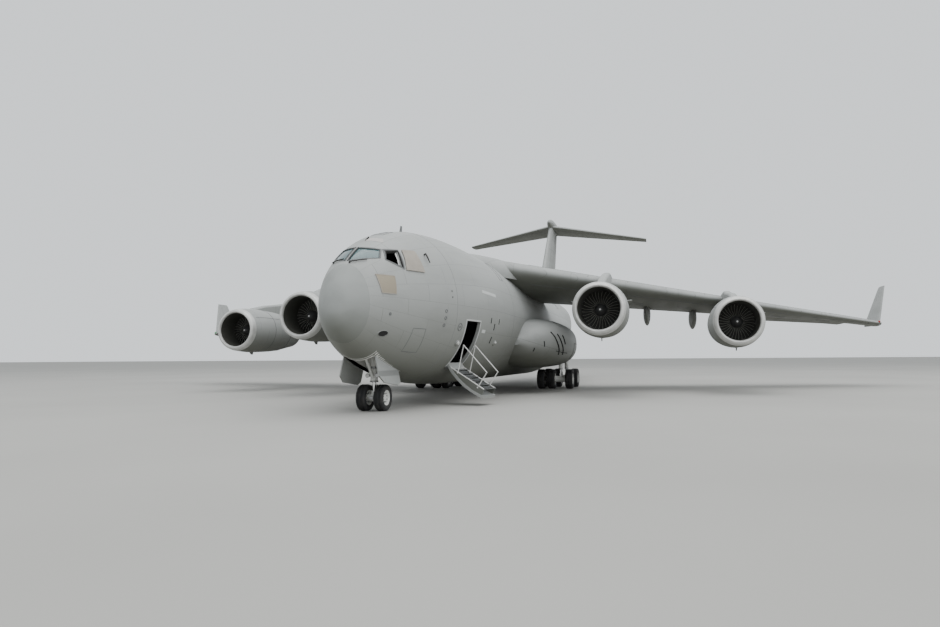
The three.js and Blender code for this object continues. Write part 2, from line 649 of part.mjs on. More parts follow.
function podBody() {
  const bulge = (s) => Math.sign(s) * Math.abs(s) ** 0.8;
  return loft(POD_SWELL.map(([t, swell]) => Array.from({ length: POD_SIDES }, (_, k) => {
    const angle = (2 * Math.PI * k) / POD_SIDES;
    const [x, z] = [bulge(Math.cos(angle)), bulge(Math.sin(angle))];
    return point(POD.x + POD.half * swell * x, mix(POD.from, POD.to, t), POD.z + POD.high * swell * z);
  })));
}
function pod() {
  const { legX, ys } = MAIN_GEAR;
  const { half, long, roof } = LEG_SLOT;
  const slots = ys.map((y) => box(legX - half, legX + half, y - long, y + long, 0, roof));
  return withoutScraps(podBody().subtract(joined(slots)).subtract(hull(-SEAT, FORWARD_END - 1, 40)), 0.05);
}

// A wheel on an axle along X: hub face, rim, tyre wall and tread
function wheel(x, y, r, w) {
  const h = w / 2;
  const side = [[0, HUB_FACE * h], [0.45 * r, HUB_FACE * h], [0.82 * r, h], [r, 0.55 * h]];
  const profile = [...side.map(([rad, out]) => [rad, -out]), ...side.toReversed()];
  return turned(profile, WHEEL_SIDES, point(x, y, r), true);
}

// Wheels side by side on one axle
function wheelSet(xs, y, r, w) {
  const [first, last] = [Math.min(...xs), Math.max(...xs)];
  const axle = bar(point(first, y, r), point(last, y, r), AXLE_R, BORE_SIDES);
  return joined(xs.map((x) => wheel(x, y, r, w)), axle);
}

// The boss of a leg between two hub faces
function boss(from, to, y, z, radius) {
  return bar(point(from + SEAT, y, z), point(to - SEAT, y, z), radius, 16);
}

function mainLeg(y) {
  const { legX, tyreR, tyreW, wheels } = MAIN_GEAR;
  const { half, long, roof } = LEG_SLOT;
  const hub = (HUB_FACE * tyreW) / 2;
  const post = joined(
    bar(point(legX, y, tyreR), point(legX, y, roof + 0.1), 0.13),
    bar(point(legX, y, 1.0), point(legX, y - 0.5, roof), 0.05, 8),
  );
  const slot = box(legX - half, legX + half, y - long + SEAT, y + long - SEAT, 0, roof - SEAT);
  const leg = joined(post.intersect(slot), boss(wheels[1] + hub, wheels[2] - hub, y, tyreR, 0.2));
  return leg.subtract(bar(point(legX - 1, y, tyreR), point(legX + 1, y, tyreR), BORE_R, BORE_SIDES));
}

// Nose gear: the strut fixed in its bay, the leg that steers in it, and the doors beside the bay
const { y: noseY, tyreR: noseR } = NOSE_GEAR;
const STRUT = { foot: 1.1, bore: 1.3, radius: 0.14 };
const LEG_R = 0.085;

// The tow lug ahead of the leg and the scissor link behind it: half width, then near, far, low and high sides
const TOW_LUG = [0.09, -0.3, -0.1, 0.46, 0.56];
const SCISSOR = [[0.05, 0.06, 0.24, 0.62, 0.7], [0.05, 0.18, 0.24, 0.62, 1.0], [0.05, 0.06, 0.24, 0.93, 1.0]];

function noseLeg() {
  const hub = (HUB_FACE * NOSE_GEAR.tyreW) / 2;
  const blocks = [TOW_LUG, ...SCISSOR]
    .map(([half, near, far, low, high]) => box(-half, half, noseY + near, noseY + far, low, high));
  const body = joined(
    bar(point(0, noseY, noseR), point(0, noseY, STRUT.bore), LEG_R),
    boss(hub - NOSE_GEAR.half, NOSE_GEAR.half - hub, noseY, noseR, 0.15),
    blocks,
  );
  return body.subtract(bar(point(-1, noseY, noseR), point(1, noseY, noseR), BORE_R, BORE_SIDES));
}

function noseStrut() {
  const { ahead, roof } = NOSE_BAY;
  const top = roof - SEAT;
  const bars = joined(
    bar(point(0, noseY, STRUT.foot), point(0, noseY, roof + 0.1), STRUT.radius),
    bar(point(0, noseY - 0.05, 1.2), point(0, noseY - 1.15, roof + 0.05), 0.06, 8),
    box(-0.3, 0.3, noseY - 0.08, noseY + 0.08, 1.3, 1.42),
  );
  const bay = box(-1, 1, noseY - ahead + SEAT, noseY + 1, 0, top);
  const bore = bar(point(0, noseY, 1.0), point(0, noseY, STRUT.bore + SEAT), LEG_R + 0.007, BORE_SIDES);
  return bars.intersect(bay).subtract(bore);
}

// One nose gear door from the side, as distance aft of the leg and height, hung open beside the bay
const NOSE_DOOR = [[-1.3, 2.6], [0.55, 2.6], [0.55, 1.05], [0.3, 0.95], [-0.95, 1.1], [-1.3, 1.35]];
const DOOR_LEAN = 12;

function noseDoor() {
  const hang = frameAlong(point(NOSE_BAY.half + 0.04, 0, 1.8), point(1, 0, 0), point(0, 0, 1));
  hang.multiply(new THREE.Matrix4().makeRotationY(THREE.MathUtils.degToRad(-DOOR_LEAN)));
  const plate = prism(hang, NOSE_DOOR.map(([aft, z]) => [noseY + aft, z - 1.8]), 0, 0.045);
  return withoutScraps(plate.subtract(hull(-SEAT, 0.5, COCKPIT_END)), 0.0005);
}

// Cockpit windows: outlines from ahead as width and height, and from the side as station and height
const WINDSHIELD = [[0.06, 5.48], [0.88, 5.66], [0.74, 6.02], [0.06, 6.06]];
const SIDE_WINDOW = [[1.98, 5.62], [2.26, 6.02], [2.86, 6.1], [2.61, 5.36]];
const REAR_WINDOW = [[2.75, 5.36], [3.06, 6.06], [3.64, 6.12], [3.58, 5.38]];
const ALONG = new THREE.Matrix4().makeBasis(point(1, 0, 0), point(0, 0, 1), point(0, -1, 0));

// The four-cornered outline drawn in towards its middle
function drawnIn(outline, by) {
  const [midA, midB] = [0, 1].map((k) => outline.reduce((sum, p) => sum + p[k], 0) / outline.length);
  return outline.map(([a, b]) => [a + Math.sign(midA - a) * by, b + Math.sign(midB - b) * by]);
}
const frontHole = (by) => prism(ALONG, drawnIn(WINDSHIELD, by), -3, -0.6);
const sideHole = (outline, by) => prism(ACROSS, drawnIn(outline, by), 0.6, 4);
const windowHoles = (by) => joined(frontHole(by), sideHole(SIDE_WINDOW, by), sideHole(REAR_WINDOW, by));

function noseSection() {
  const { half, ahead, behind, roof, wall: web } = NOSE_BAY;
  const bay = box(-half, half, noseY - ahead, noseY + behind, 0, roof);
  const fill = box(-3, 3, noseY - ahead - 0.25, COCKPIT_END, 0, roof + web);
  const inner = hull(WALL, RADOME_END + WALL, COCKPIT_END + 0.5, INNER_SIDES).subtract(fill);
  const skin = hull(0, RADOME_END + SEAT / 2, COCKPIT_END - SEAT / 2).subtract(inner);
  return skin.subtract(windowHoles(0)).subtract(mirrored(windowHoles(0))).subtract(bay);
}

// Window panes on one band behind the skin, with the port side window open
function panes() {
  const layers = [0.02, WALL + 0.04];
  const [outer, inner] = layers.map((inset) => hull(inset, RADOME_END + inset, COCKPIT_END, INNER_SIDES));
  const port = joined(frontHole(SEAT), sideHole(REAR_WINDOW, SEAT));
  const plugs = outer.subtract(inner).intersect(joined(port, mirrored(windowHoles(SEAT))));
  const liner = hull(WALL + SEAT, RADOME_END + WALL + SEAT, COCKPIT_END - 0.2, INNER_SIDES).subtract(inner);
  const windowBelt = box(-3, 3, RADOME_END + 0.2, 3.9, 5.2, 6.3);
  const band = liner.intersect(windowBelt).subtract(sideHole(SIDE_WINDOW, 0));
  return joined(plugs, band);
}

// The flight deck's panel and seats: half width, then fore, aft, low and high sides above the deck
const PANEL = [0.95, 1.75, 2.05, -0.05, 0.8];
const SEAT_BLOCKS = [[0.27, 2.75, 3.25, -0.05, 0.45], [0.27, 3.15, 3.3, 0.4, 1.1]];
const SEAT_X = 0.6;
const deckBlock = (x, [half, fore, aft, low, high]) => (
  box(x - half, x + half, fore, aft, DECK_TOP + low, DECK_TOP + high)
);

// Flight deck: floor, bulkhead, instrument panel and two seats
function flightDeck() {
  const inside = hull(WALL + SEAT, RADOME_END + WALL + SEAT, COCKPIT_END - SEAT, INNER_SIDES);
  const clearOfGlass = hull(WALL + 0.05, RADOME_END + WALL + 0.05, COCKPIT_END - SEAT, INNER_SIDES);
  const floor = box(-3, 3, RADOME_END, COCKPIT_END, DECK_TOP - 0.12, DECK_TOP);
  const low = NOSE_BAY.roof + NOSE_BAY.wall + SEAT;
  const bulkhead = box(-3.4, 3.4, COCKPIT_END - 0.12, COCKPIT_END - 0.02, low, 8);
  const seats = [-SEAT_X, SEAT_X].flatMap((x) => SEAT_BLOCKS.map((block) => deckBlock(x, block)));
  const furniture = joined(deckBlock(0, PANEL), seats).intersect(clearOfGlass);
  return joined(joined(floor, bulkhead).intersect(inside), furniture);
}

// Crew door: made shut in the side and let down about its sill, in a frame on the hinge: outward, aft and up
const sillX = (y) => {
  const [half, , keel, waist] = sectionAt(y);
  const down = (waist - CREW_DOOR.sill) / (waist - keel);
  return half * Math.sqrt(1 - down * down) + CREW_DOOR.proud;
};
const doorEnds = [CREW_DOOR.from, CREW_DOOR.to].map((y) => point(sillX(y), y, CREW_DOOR.sill));
const doorMiddle = doorEnds[0].clone().lerp(doorEnds[1], 0.5);
const doorAlong = doorEnds[1].clone().sub(doorEnds[0]);
const doorHalf = doorAlong.length() / 2;
const doorFrame = new THREE.Matrix4().makeTranslation(doorMiddle.x * M, doorMiddle.y * M, doorMiddle.z * M)
  .multiply(new THREE.Matrix4().makeRotationZ(-Math.atan2(doorAlong.x, doorAlong.y)));
const doorTurn = doorFrame.clone()
  .multiply(new THREE.Matrix4().makeRotationY(THREE.MathUtils.degToRad(CREW_DOOR.open)))
  .multiply(doorFrame.clone().invert());
const moved = (body, matrix) => solid(geometryOf(body).applyMatrix4(matrix));
const SIDEWAYS = frameAlong(point(0, 0, 0), point(0, 1, 0), point(0, 0, 1));

// A plate in the door's frame, square to the hinge: outline as distance outward and height above the sill
const doorPlate = (outline, from, to) => {
  const turnedOutline = outline.map(([out, up]) => [-out, up]);
  return moved(prism(SIDEWAYS, turnedOutline, from, to), doorFrame);
};
const doorBox = (...corners) => moved(box(...corners), doorFrame);
const doorBar = (a, b, radius, sides) => moved(bar(a, b, radius, sides), doorFrame);

const DOOR_HIGH = CREW_DOOR.head - CREW_DOOR.sill;
const HINGE = { radius: 0.04, inset: 0.04, lug: 0.06 };
const hingeHalf = doorHalf - HINGE.inset;
const doorway = joined(
  doorBox(-1.4, 3, -doorHalf, doorHalf, -RUNNING, DOOR_HIGH),
  doorBar(point(0, -doorHalf, 0), point(0, doorHalf, 0), HINGE.radius + RUNNING, 10),
);

// Lugs on the sill that the door's hinge bar turns between
const SILL_LUG = [[-0.2, -0.2], [-0.06, -0.13], [0.04, -0.04], [0.04, 0.03], [-0.03, 0.045], [-0.1, -0.02]];
const sillLugs = [[-hingeHalf - HINGE.lug, -hingeHalf], [hingeHalf, hingeHalf + HINGE.lug]]
  .map(([from, to]) => doorPlate(SILL_LUG, from, to));

// The stair on the door, in the door's frame let down
const STAIR = { run: 1.72, fall: 1.5, top: 0.12, steps: 6, railR: 0.022 };
const FOOT = 0.04 - CREW_DOOR.sill;

// A handrail's corners as distance outward and height above the sill: low end, knee, head and heel
const RAIL = [[1.5, -1.36], [1.87, -0.26], [0.78, 0.9], [0.5, -0.5]];

function stair() {
  const { run, fall, top, steps, railR } = STAIR;
  const stringer = [[top, -0.04], [run, -0.04 - fall], [run, FOOT], [run - 0.12, FOOT], [top, -0.32]];
  const edge = doorHalf - 0.06;
  const ends = [[-edge, 0.05 - edge], [edge - 0.05, edge]];
  const sides = ends.map(([from, to]) => doorPlate(stringer, from, to));
  const treads = Array.from({ length: steps }, (_, k) => {
    const share = (k + 1) / (steps + 0.6);
    const [out, up] = [0.1 + share * run, -0.04 - share * fall];
    return doorBox(out - 0.14, out + 0.12, -edge, edge, up - 0.07, up - 0.03);
  });
  const rails = [-edge + 0.025, edge - 0.025].flatMap((side) => {
    const [low, knee, head, heel] = RAIL.map(([out, up]) => point(out, side, up));
    return [doorBar(low, knee, railR, 4), doorBar(knee, head, railR, 4), doorBar(heel, head, railR, 4)];
  });
  return joined(sides, treads, rails);
}

function crewDoor() {
  const edge = doorHalf - RUNNING;
  const shut = joined(
    doorBox(-3, 3, -edge, edge, 0.1, DOOR_HIGH - RUNNING),
    doorBox(-3, 3, -hingeHalf + 0.02, hingeHalf - 0.02, RUNNING, 0.2),
  ).intersect(hull(0, COCKPIT_END, FORWARD_END));
  const panel = shut.subtract(hull(CREW_DOOR.thick, COCKPIT_END - 1, FORWARD_END + 1));
  const steps = moved(stair(), doorTurn.clone().invert()).intersect(shut);
  const web = doorBox(-0.1, 0, 0.05 - hingeHalf, hingeHalf - 0.05, RUNNING, 0.06);
  const pin = doorBar(point(0, SEAT - hingeHalf, 0), point(0, hingeHalf - SEAT, 0), HINGE.radius, 10);
  return moved(joined(panel, steps, web, pin), doorTurn);
}

// Ramp and cargo door under the tail: a plan of the opening, then the ramp's wedge and the door's shell
const PLAN = new THREE.Matrix4().makeBasis(point(1, 0, 0), point(0, 1, 0), point(0, 0, 1));
const MOUTH_TOP = { ramp: 3.6, door: 5.6 };

function openingPlan(from, to, edge) {
  const { half, aftHalf, rampEnd, doorEnd } = OPENING;
  const halfAt = (y) => edge + mix(half, aftHalf, Math.max(0, y - rampEnd) / (doorEnd - rampEnd));
  return [[-halfAt(from), from], [halfAt(from), from], [halfAt(to), to], [-halfAt(to), to]];
}
const rampPlan = (edge) => {
  const plan = openingPlan(OPENING.rampStart, OPENING.rampEnd, edge);
  return prism(PLAN, plan, 0, MOUTH_TOP.ramp);
};
const bothSides = (body) => joined(body, mirrored(body));

function aftFuselage() {
  const { rampEnd, doorEnd } = OPENING;
  const doorPlan = prism(PLAN, openingPlan(rampEnd, doorEnd + RUNNING, RUNNING), 0, MOUTH_TOP.door);
  const skin = hull(0, AFT_START + SEAT / 2, TAIL_CONE_START - SEAT / 2);
  const inner = hull(WALL, AFT_START - 0.5, TAIL_CONE_START - WALL, INNER_SIDES);
  const shell = withoutScraps(skin.subtract(inner).subtract(joined(rampPlan(RUNNING), doorPlan)), 0.05);
  const lug = prism(ACROSS, CARGO_LUG, CARGO_PIN.x, CARGO_PIN.x + CARGO_PIN.thick);
  return joined(shell, bothSides(lug));
}

// The ramp: a wedge up to its floor, with the skin beside it, and pads that seat on the opening's sides
function ramp() {
  const outer = hull(0, OPENING.rampStart - 1, OPENING.doorEnd);
  const wedge = prism(ACROSS, RAMP_TOP, -OPENING.half, OPENING.half);
  const skin = outer.subtract(hull(SHELL, OPENING.rampStart - 2, OPENING.doorEnd, INNER_SIDES));
  const side = prism(ACROSS, RAMP_SIDE, -OPENING.half, OPENING.half);
  const body = joined(outer.intersect(wedge), skin).intersect(rampPlan(0)).intersect(side);
  const pad = box(OPENING.half - 0.06, OPENING.half + RUNNING - SEAT, 31.1, 31.25, 1.98, 2.08);
  return joined(withoutScraps(body), bothSides(pad));
}

function cargoDoor() {
  const { rampEnd, doorEnd } = OPENING;
  const plan = prism(PLAN, openingPlan(rampEnd + RUNNING, doorEnd, 0), 0, MOUTH_TOP.door);
  const inner = hull(SHELL, rampEnd - 2, doorEnd + 2, INNER_SIDES);
  const shell = hull(0, rampEnd - 1, doorEnd + 1).subtract(inner);
  const arm = prism(ACROSS, CARGO_ARM, CARGO_PIN.x - SEAT - CARGO_PIN.thick, CARGO_PIN.x - SEAT);
  return joined(shell.intersect(plan), bothSides(arm));
}

function cargoFloor() {
  const inside = hull(WALL + SEAT, COCKPIT_END - 1, OPENING.rampStart + 1, INNER_SIDES);
  const end = OPENING.rampStart - RUNNING;
  return box(-3.4, 3.4, COCKPIT_END + SEAT, end, FLOOR_TOP - FLOOR_THICK, FLOOR_TOP).intersect(inside);
}

// Fairing where the wing crosses the body's crown: station, half width and top
const SADDLE = [
  [11.2, 0.6, 7.45], [12.3, 1.5, 7.6], [13.6, 2.4, 7.72], [16.3, 3.2, 7.84],
  [20.8, 3.1, 8.04], [24.8, 2.5, 7.92], [28.3, 1.7, 7.75], [30.8, 0.6, 7.55],
];
const SADDLE_BASE = 6.4;
const SADDLE_STEPS = 12;

function saddle() {
  const bulge = (s) => Math.sign(s) * Math.abs(s) ** 0.75;
  const rings = SADDLE.map(([y, half, top]) => Array.from({ length: SADDLE_STEPS + 1 }, (_, i) => {
    const angle = (Math.PI * i) / SADDLE_STEPS;
    return point(half * bulge(Math.cos(angle)), y, mix(SADDLE_BASE, top, bulge(Math.sin(angle))));
  }));
  return withoutScraps(loft(rings).subtract(hull(-SEAT, 8, 40)).subtract(wingCutter), 0.05);
}

// Colours as the photo shows them
const FINISH = {
  skin: { color: 0xa4a7a5, roughness: 0.62, metalness: 0.1 },
  radome: { color: 0x9a9d9c, roughness: 0.7, metalness: 0.0 },
  lip: { color: 0xb9bab7, roughness: 0.45, metalness: 0.3 },
  core: { color: 0x5b5a58, roughness: 0.5, metalness: 0.8 },
  fan: { color: 0x2c2d2f, roughness: 0.4, metalness: 0.6 },
  gear: { color: 0xdcdcd8, roughness: 0.45, metalness: 0.1 },
  tyre: { color: 0x1b1b1c, roughness: 0.9, metalness: 0.0 },
  glass: { color: 0x5f7478, roughness: 0.1, metalness: 0.0 },
  floor: { color: 0x6d6f6e, roughness: 0.8, metalness: 0.2 },
  cabin: { color: 0x3f4344, roughness: 0.8, metalness: 0.0 },
};

const plane = new THREE.Group();
plane.position.y = (-LENGTH / 2) * M;

function add(name, finish, body, mirror = false) {
  const mesh = new THREE.Mesh(geometryOf(body), new THREE.MeshStandardMaterial(FINISH[finish]));
  mesh.name = name;
  if (mirror) mesh.scale.x = -1;
  plane.add(mesh);
}
function addPair(name, finish, body) {
  add(`${name}_port`, finish, body);
  add(`${name}_starboard`, finish, body, true);
}

add("radome", "radome", hull(0, 0, RADOME_END - SEAT / 2));
add("nose_section", "skin", noseSection());
add("cockpit_glass", "glass", panes());
add("flight_deck", "cabin", flightDeck());
add("forward_fuselage", "skin", joined(wall(COCKPIT_END, FORWARD_END).subtract(doorway), sillLugs));
add("centre_fuselage", "skin", withoutScraps(wall(FORWARD_END, AFT_START).subtract(wingCutter), 0.05));
add("aft_fuselage", "skin", aftFuselage());
add("tail_cone", "skin", hull(0, TAIL_CONE_START + SEAT / 2, BODY_END));
add("cargo_floor", "floor", cargoFloor());
add("wing_root_fairing", "skin", saddle());
add("fin", "skin", fin());
add("tailplane", "skin", tailplane());
add("rudder_lower", "skin", rudder("lower"));
add("rudder_upper", "skin", rudder("upper"));
addPair("wing", "skin", wing());
addPair("flap_inner", "skin", flap("inner"));
addPair("flap_outer", "skin", flap("outer"));
addPair("aileron", "skin", aileron());
addPair("elevator", "skin", elevator());
addPair("gear_pod", "skin", pod());

ENGINES.forEach((engine) => {
  addPair(`pylon_${engine.name}`, "skin", pylon(engine));
  addPair(`nacelle_${engine.name}`, "lip", nacelle(engine));
  addPair(`engine_core_${engine.name}`, "core", core(engine));
  addPair(`fan_${engine.name}`, "fan", fan(engine));
});

add("nose_strut", "gear", noseStrut());
add("nose_leg", "gear", noseLeg());
add("nose_wheels", "tyre", wheelSet([-NOSE_GEAR.half, NOSE_GEAR.half], noseY, noseR, NOSE_GEAR.tyreW));
addPair("nose_gear_door", "skin", noseDoor());

["front", "rear"].forEach((place, i) => {
  const y = MAIN_GEAR.ys[i];
  addPair(`main_leg_${place}`, "gear", mainLeg(y));
  addPair(`main_wheels_${place}`, "tyre", wheelSet(MAIN_GEAR.wheels, y, MAIN_GEAR.tyreR, MAIN_GEAR.tyreW));
});

add("crew_door", "skin", crewDoor());
add("ramp", "skin", ramp());
add("cargo_door", "skin", cargoDoor());

export default plane;
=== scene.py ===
"""A four-engined, high-winged military transport plane, parked on its gear with the crew door down.

Every size is the full-size plane's, in metres: x to port, y aft of the nose, z above the ground.
to_frame() turns them into the half-size model's own frame.
"""

import math

import bmesh
import bpy
import numpy as np
from mathutils import Matrix, Vector


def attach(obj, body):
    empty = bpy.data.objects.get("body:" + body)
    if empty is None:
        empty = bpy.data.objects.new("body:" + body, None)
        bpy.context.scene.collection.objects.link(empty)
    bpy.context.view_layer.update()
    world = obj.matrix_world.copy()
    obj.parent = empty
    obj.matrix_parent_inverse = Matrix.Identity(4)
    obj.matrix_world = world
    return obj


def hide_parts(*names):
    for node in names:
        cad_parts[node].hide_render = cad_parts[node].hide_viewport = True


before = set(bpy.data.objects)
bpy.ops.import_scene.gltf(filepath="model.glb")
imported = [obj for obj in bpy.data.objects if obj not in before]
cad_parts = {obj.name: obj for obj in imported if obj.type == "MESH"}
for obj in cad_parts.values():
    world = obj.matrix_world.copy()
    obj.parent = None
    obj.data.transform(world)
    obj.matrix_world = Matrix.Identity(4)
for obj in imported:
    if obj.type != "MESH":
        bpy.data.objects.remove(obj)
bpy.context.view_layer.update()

SCALE = 0.5
LENGTH = 53.04
WALL = 0.14
GAP = 0.012

# Body sections: station, half width, heights of the crown, the keel and the widest line
BODY = [
    (0.0, 0.0, 3.62, 3.62, 3.62),
    (0.08, 0.31, 4.18, 3.27, 3.66),
    (0.3, 0.6, 4.69, 2.95, 3.76),
    (0.8, 0.98, 5.33, 2.53, 3.88),
    (1.6, 1.38, 5.97, 2.1, 4.0),
    (2.4, 1.69, 6.42, 1.79, 4.06),
    (3.2, 1.96, 6.77, 1.55, 4.1),
    (4.0, 2.21, 7.03, 1.36, 4.13),
    (5.0, 2.5, 7.28, 1.17, 4.16),
    (6.0, 2.77, 7.45, 1.02, 4.18),
    (8.0, 3.16, 7.6, 0.85, 4.2),
    (10.0, 3.38, 7.63, 0.78, 4.2),
    (12.0, 3.43, 7.63, 0.77, 4.2),
    (20.0, 3.43, 7.63, 0.77, 4.2),
    (31.0, 3.43, 7.63, 0.77, 4.2),
    (34.0, 3.4, 7.63, 1.15, 4.3),
    (37.5, 3.24, 7.62, 2.15, 4.7),
    (41.0, 2.85, 7.59, 3.4, 5.3),
    (44.5, 2.15, 7.52, 4.75, 6.1),
    (47.3, 1.2, 7.38, 5.9, 6.68),
    (48.5, 0.55, 7.2, 6.5, 6.9),
]
BODY_SIDES = 112
RADOME_END, COCKPIT_END, FORWARD_END = 0.8, 5.6, 13.0
AFT_START, TAIL_CONE_START, BODY_END = 30.0, 43.4, 48.5

# The wing: leading edge, chord, height and thickness along the span, and its trailing edge's drop.
# EDGE_HALF is half the thickness of every trailing edge
WING_LE, WING_SWEEP, WING_SPAN = 13.16, 0.542, 25.15
WING_Z, WING_DROP = 7.33, 0.126
WING_CHORD, WING_THICK = (10.9, 3.1), (0.15, 0.105)
TWIST_DROP, TWIST_END = 1.27, 22.5
SURFACE_LINE = 0.74
FRONT_END = 0.68
FLAPS = {"inner": (4.7, 11.4), "outer": (11.4, 17.3)}
AILERON, AILERON_DROOP = (17.5, 23.4), 12
FAIRINGS = {"inner": (6.0, 10.1), "outer": (13.1, 16.2)}
FAIRING_HALF, FAIRING_HIGH, FAIRING_LONG, FAIRING_DROP = 0.24, 0.75, 2.3, 0.65
FLAP_PIN_DROP = 1.15
WINGLET_HIGH, WINGLET_LEAN, WINGLET_CHORD, WINGLET_BACK = 2.6, 0.82, 1.15, 1.3
WINGLET_THICK, WINGLET_INSET = 0.09, 0.14
EDGE_HALF = 0.006

# Engines: distance out, height of the axis, and how far the lip stands ahead of the wing
ENGINES = {"inner": (7.97, 4.38, 6.27), "outer": (14.9, 3.88, 5.92)}
COWL = [(1.13, 0), (1.24, 0.08), (1.33, 0.45), (1.39, 1.5), (1.33, 3.6), (1.0, 6.0)]
DUCT = [(0.94, 6.0), (1.06, 3.4), (1.0, 1.6), (1.0, 0.6), (1.04, 0.12)]
FAN_RADIUS, FAN_FRONT, FAN_BACK = 0.975, 1.35, 1.7
FAN_BLADES, HUB_RADIUS = 32, 0.31
BLADE_MIDDLE = (FAN_FRONT + 1.49) / 2
LIP_END = 0.34
STRAKES = {"inner": (18, 162), "outer": (18,)}
PYLON_HALF = 0.23

# The tail: leading edge and chord at foot and top of the fin, and along the tailplane's span
FIN_FOOT, FIN_TOP = (7.0, 39.1, 9.2), (16.1, 47.0, 4.6)
FIN_THICK, RUDDER_LINE = 0.11, 0.68
RUDDERS = {"lower": (8.55, 11.95), "upper": (12.05, 15.4)}
TAIL_LE, TAIL_SWEEP, TAIL_SPAN, TAIL_CHORD = 46.88, 0.42, 9.9, (5.5, 2.0)
TAIL_Z, TAIL_DROP, TAIL_THICK = 15.95, 0.105, 0.1
ELEVATOR, ELEVATOR_LINE = (0.95, 9.3), 0.7
BULLET_FROM, BULLET_TO, BULLET_HALF, BULLET_Z, BULLET_HIGH = 45.9, 52.3, 0.42, 16.25, 0.54

# Landing gear
NOSE_Y, NOSE_TYRE, NOSE_WIDE, NOSE_TRACK = 3.35, 0.508, 0.4, 0.36
BAY_HALF, BAY_AHEAD, BAY_BEHIND, BAY_ROOF, BAY_WALL = 0.62, 1.35, 0.62, 2.5, 0.15
MAIN_AXLES = {"front": 22.0, "rear": 24.82}
MAIN_LEG_X, MAIN_WHEELS, MAIN_TYRE, MAIN_WIDE = 4.55, (3.3, 3.97, 5.13), 0.635, 0.5
AXLE_RADIUS, MAIN_ROD, NOSE_ROD, MAIN_LEG, NOSE_LEG = 0.085, 0.095, 0.085, 0.13, 0.14
MAIN_ROD_TOP, NOSE_ROD_TOP, NOSE_LEG_LOW = 1.3, 1.29, 1.1
SLOT_HALF, SLOT_LONG, SLOT_ROOF = 0.25, 0.4, 2.25
HUB_FACE = 0.7
POD_FROM, POD_TO, POD_X, POD_HALF, POD_Z, POD_HIGH = 14.6, 31.4, 3.1, 2.5, 2.9, 1.5
POD_SQUARE = 0.8
POD_SWELL = [
    (0, 0.12), (0.03, 0.5), (0.09, 0.8), (0.2, 0.97), (0.33, 1), (0.45, 0.99), (0.64, 0.72), (1, 0.2),
]

# The crew door in the port side, and the ramp and cargo door under the tail
DOOR_FROM, DOOR_TO, DOOR_SILL, DOOR_HEAD, DOOR_OPEN = 6.62, 7.88, 1.66, 3.6, 101
DOOR_THICK, DOOR_PROUD = 0.11, 0.03
MOUTH_HALF, MOUTH_AFT_HALF, RAMP_START, RAMP_END, MOUTH_END = 2.55, 1.55, 31.0, 37.0, 42.2
SHELL = 0.2


def mix(a, b, t):
    return a + (b - a) * t


def to_frame(points):
    shifted = np.array(points, float)
    shifted[:, 1] -= LENGTH / 2
    return shifted * SCALE


def round_angles(count):
    return np.linspace(0, 2 * math.pi, count, endpoint=False)


def curve_through(rows, at):
    """The other columns of a table at one value of its first, on a curve that never overshoots."""
    rows = np.asarray(rows, float)
    i = int(np.clip(np.searchsorted(rows[:, 0], at - 1e-9), 1, len(rows) - 1))
    low, high = rows[i - 1], rows[i]
    span = high[0] - low[0]
    t = (at - low[0]) / span

    def slope(row):
        if row in (0, len(rows) - 1):
            return (high[1:] - low[1:]) / span
        a = (rows[row, 1:] - rows[row - 1, 1:]) / (rows[row, 0] - rows[row - 1, 0])
        b = (rows[row + 1, 1:] - rows[row, 1:]) / (rows[row + 1, 0] - rows[row, 0])
        total = np.where(np.abs(a + b) < 1e-12, 1, a + b)
        return np.where(a * b <= 0, 0, 2 * a * b / total)

    m0, m1 = slope(i - 1) * span, slope(i) * span
    rise = 3 * t * t - 2 * t**3
    return mix(low[1:], high[1:], rise) + (t**3 - 2 * t * t + t) * m0 + (t**3 - t * t) * m1


def section_at(y):
    """Half width and heights of the crown, the keel and the widest line at a station."""
    if y < BODY[1][0]:
        t = math.sqrt(max(y, 0) / BODY[1][0])
        return [mix(a, b, t) for a, b in zip(BODY[0][1:], BODY[1][1:])]
    return list(curve_through(BODY, y))


# Shapes are pairs of points and faces


def loft(rings, capped=True):
    n = len(rings[0])
    faces = []
    for r in range(len(rings) - 1):
        for i in range(n):
            a, b = r * n + i, r * n + (i + 1) % n
            faces.append((a, b, b + n, a + n))
    if capped:
        faces.append(tuple(range(n)))
        faces.append(tuple(range((len(rings) - 1) * n, len(rings) * n)))
    return np.vstack([np.asarray(r, float) for r in rings]), faces


def joined(*shapes):
    points, faces, start = [], [], 0
    for shape_points, shape_faces in shapes:
        points.append(np.asarray(shape_points, float))
        faces += [tuple(i + start for i in face) for face in shape_faces]
        start += len(shape_points)
    return np.vstack(points), faces


def mirrored(shape):
    points, faces = shape
    return np.asarray(points) * (-1, 1, 1), [tuple(reversed(f)) for f in faces]


def as_one(shape):
    return joined(*shape) if isinstance(shape, list) else shape


def both_sides(shape):
    return joined(shape, mirrored(shape))


def moved(shape, by):
    return np.asarray(shape[0]) + by, shape[1]


def placed(shape, where):
    """A shape with each of its points sent through a function."""
    return np.array([tuple(where(Vector(p))) for p in shape[0]]), shape[1]


def turned_about(shape, origin, axis, degrees):
    turn = Matrix.Rotation(math.radians(degrees), 3, axis)
    return placed(shape, lambda point: origin + turn @ (point - origin))


def block(low, high):
    (x0, y0, z0), (x1, y1, z1) = low, high
    ring = [(x0, y0), (x1, y0), (x1, y1), (x0, y1)]
    return loft([[(x, y, z) for x, y in ring] for z in (z0, z1)])


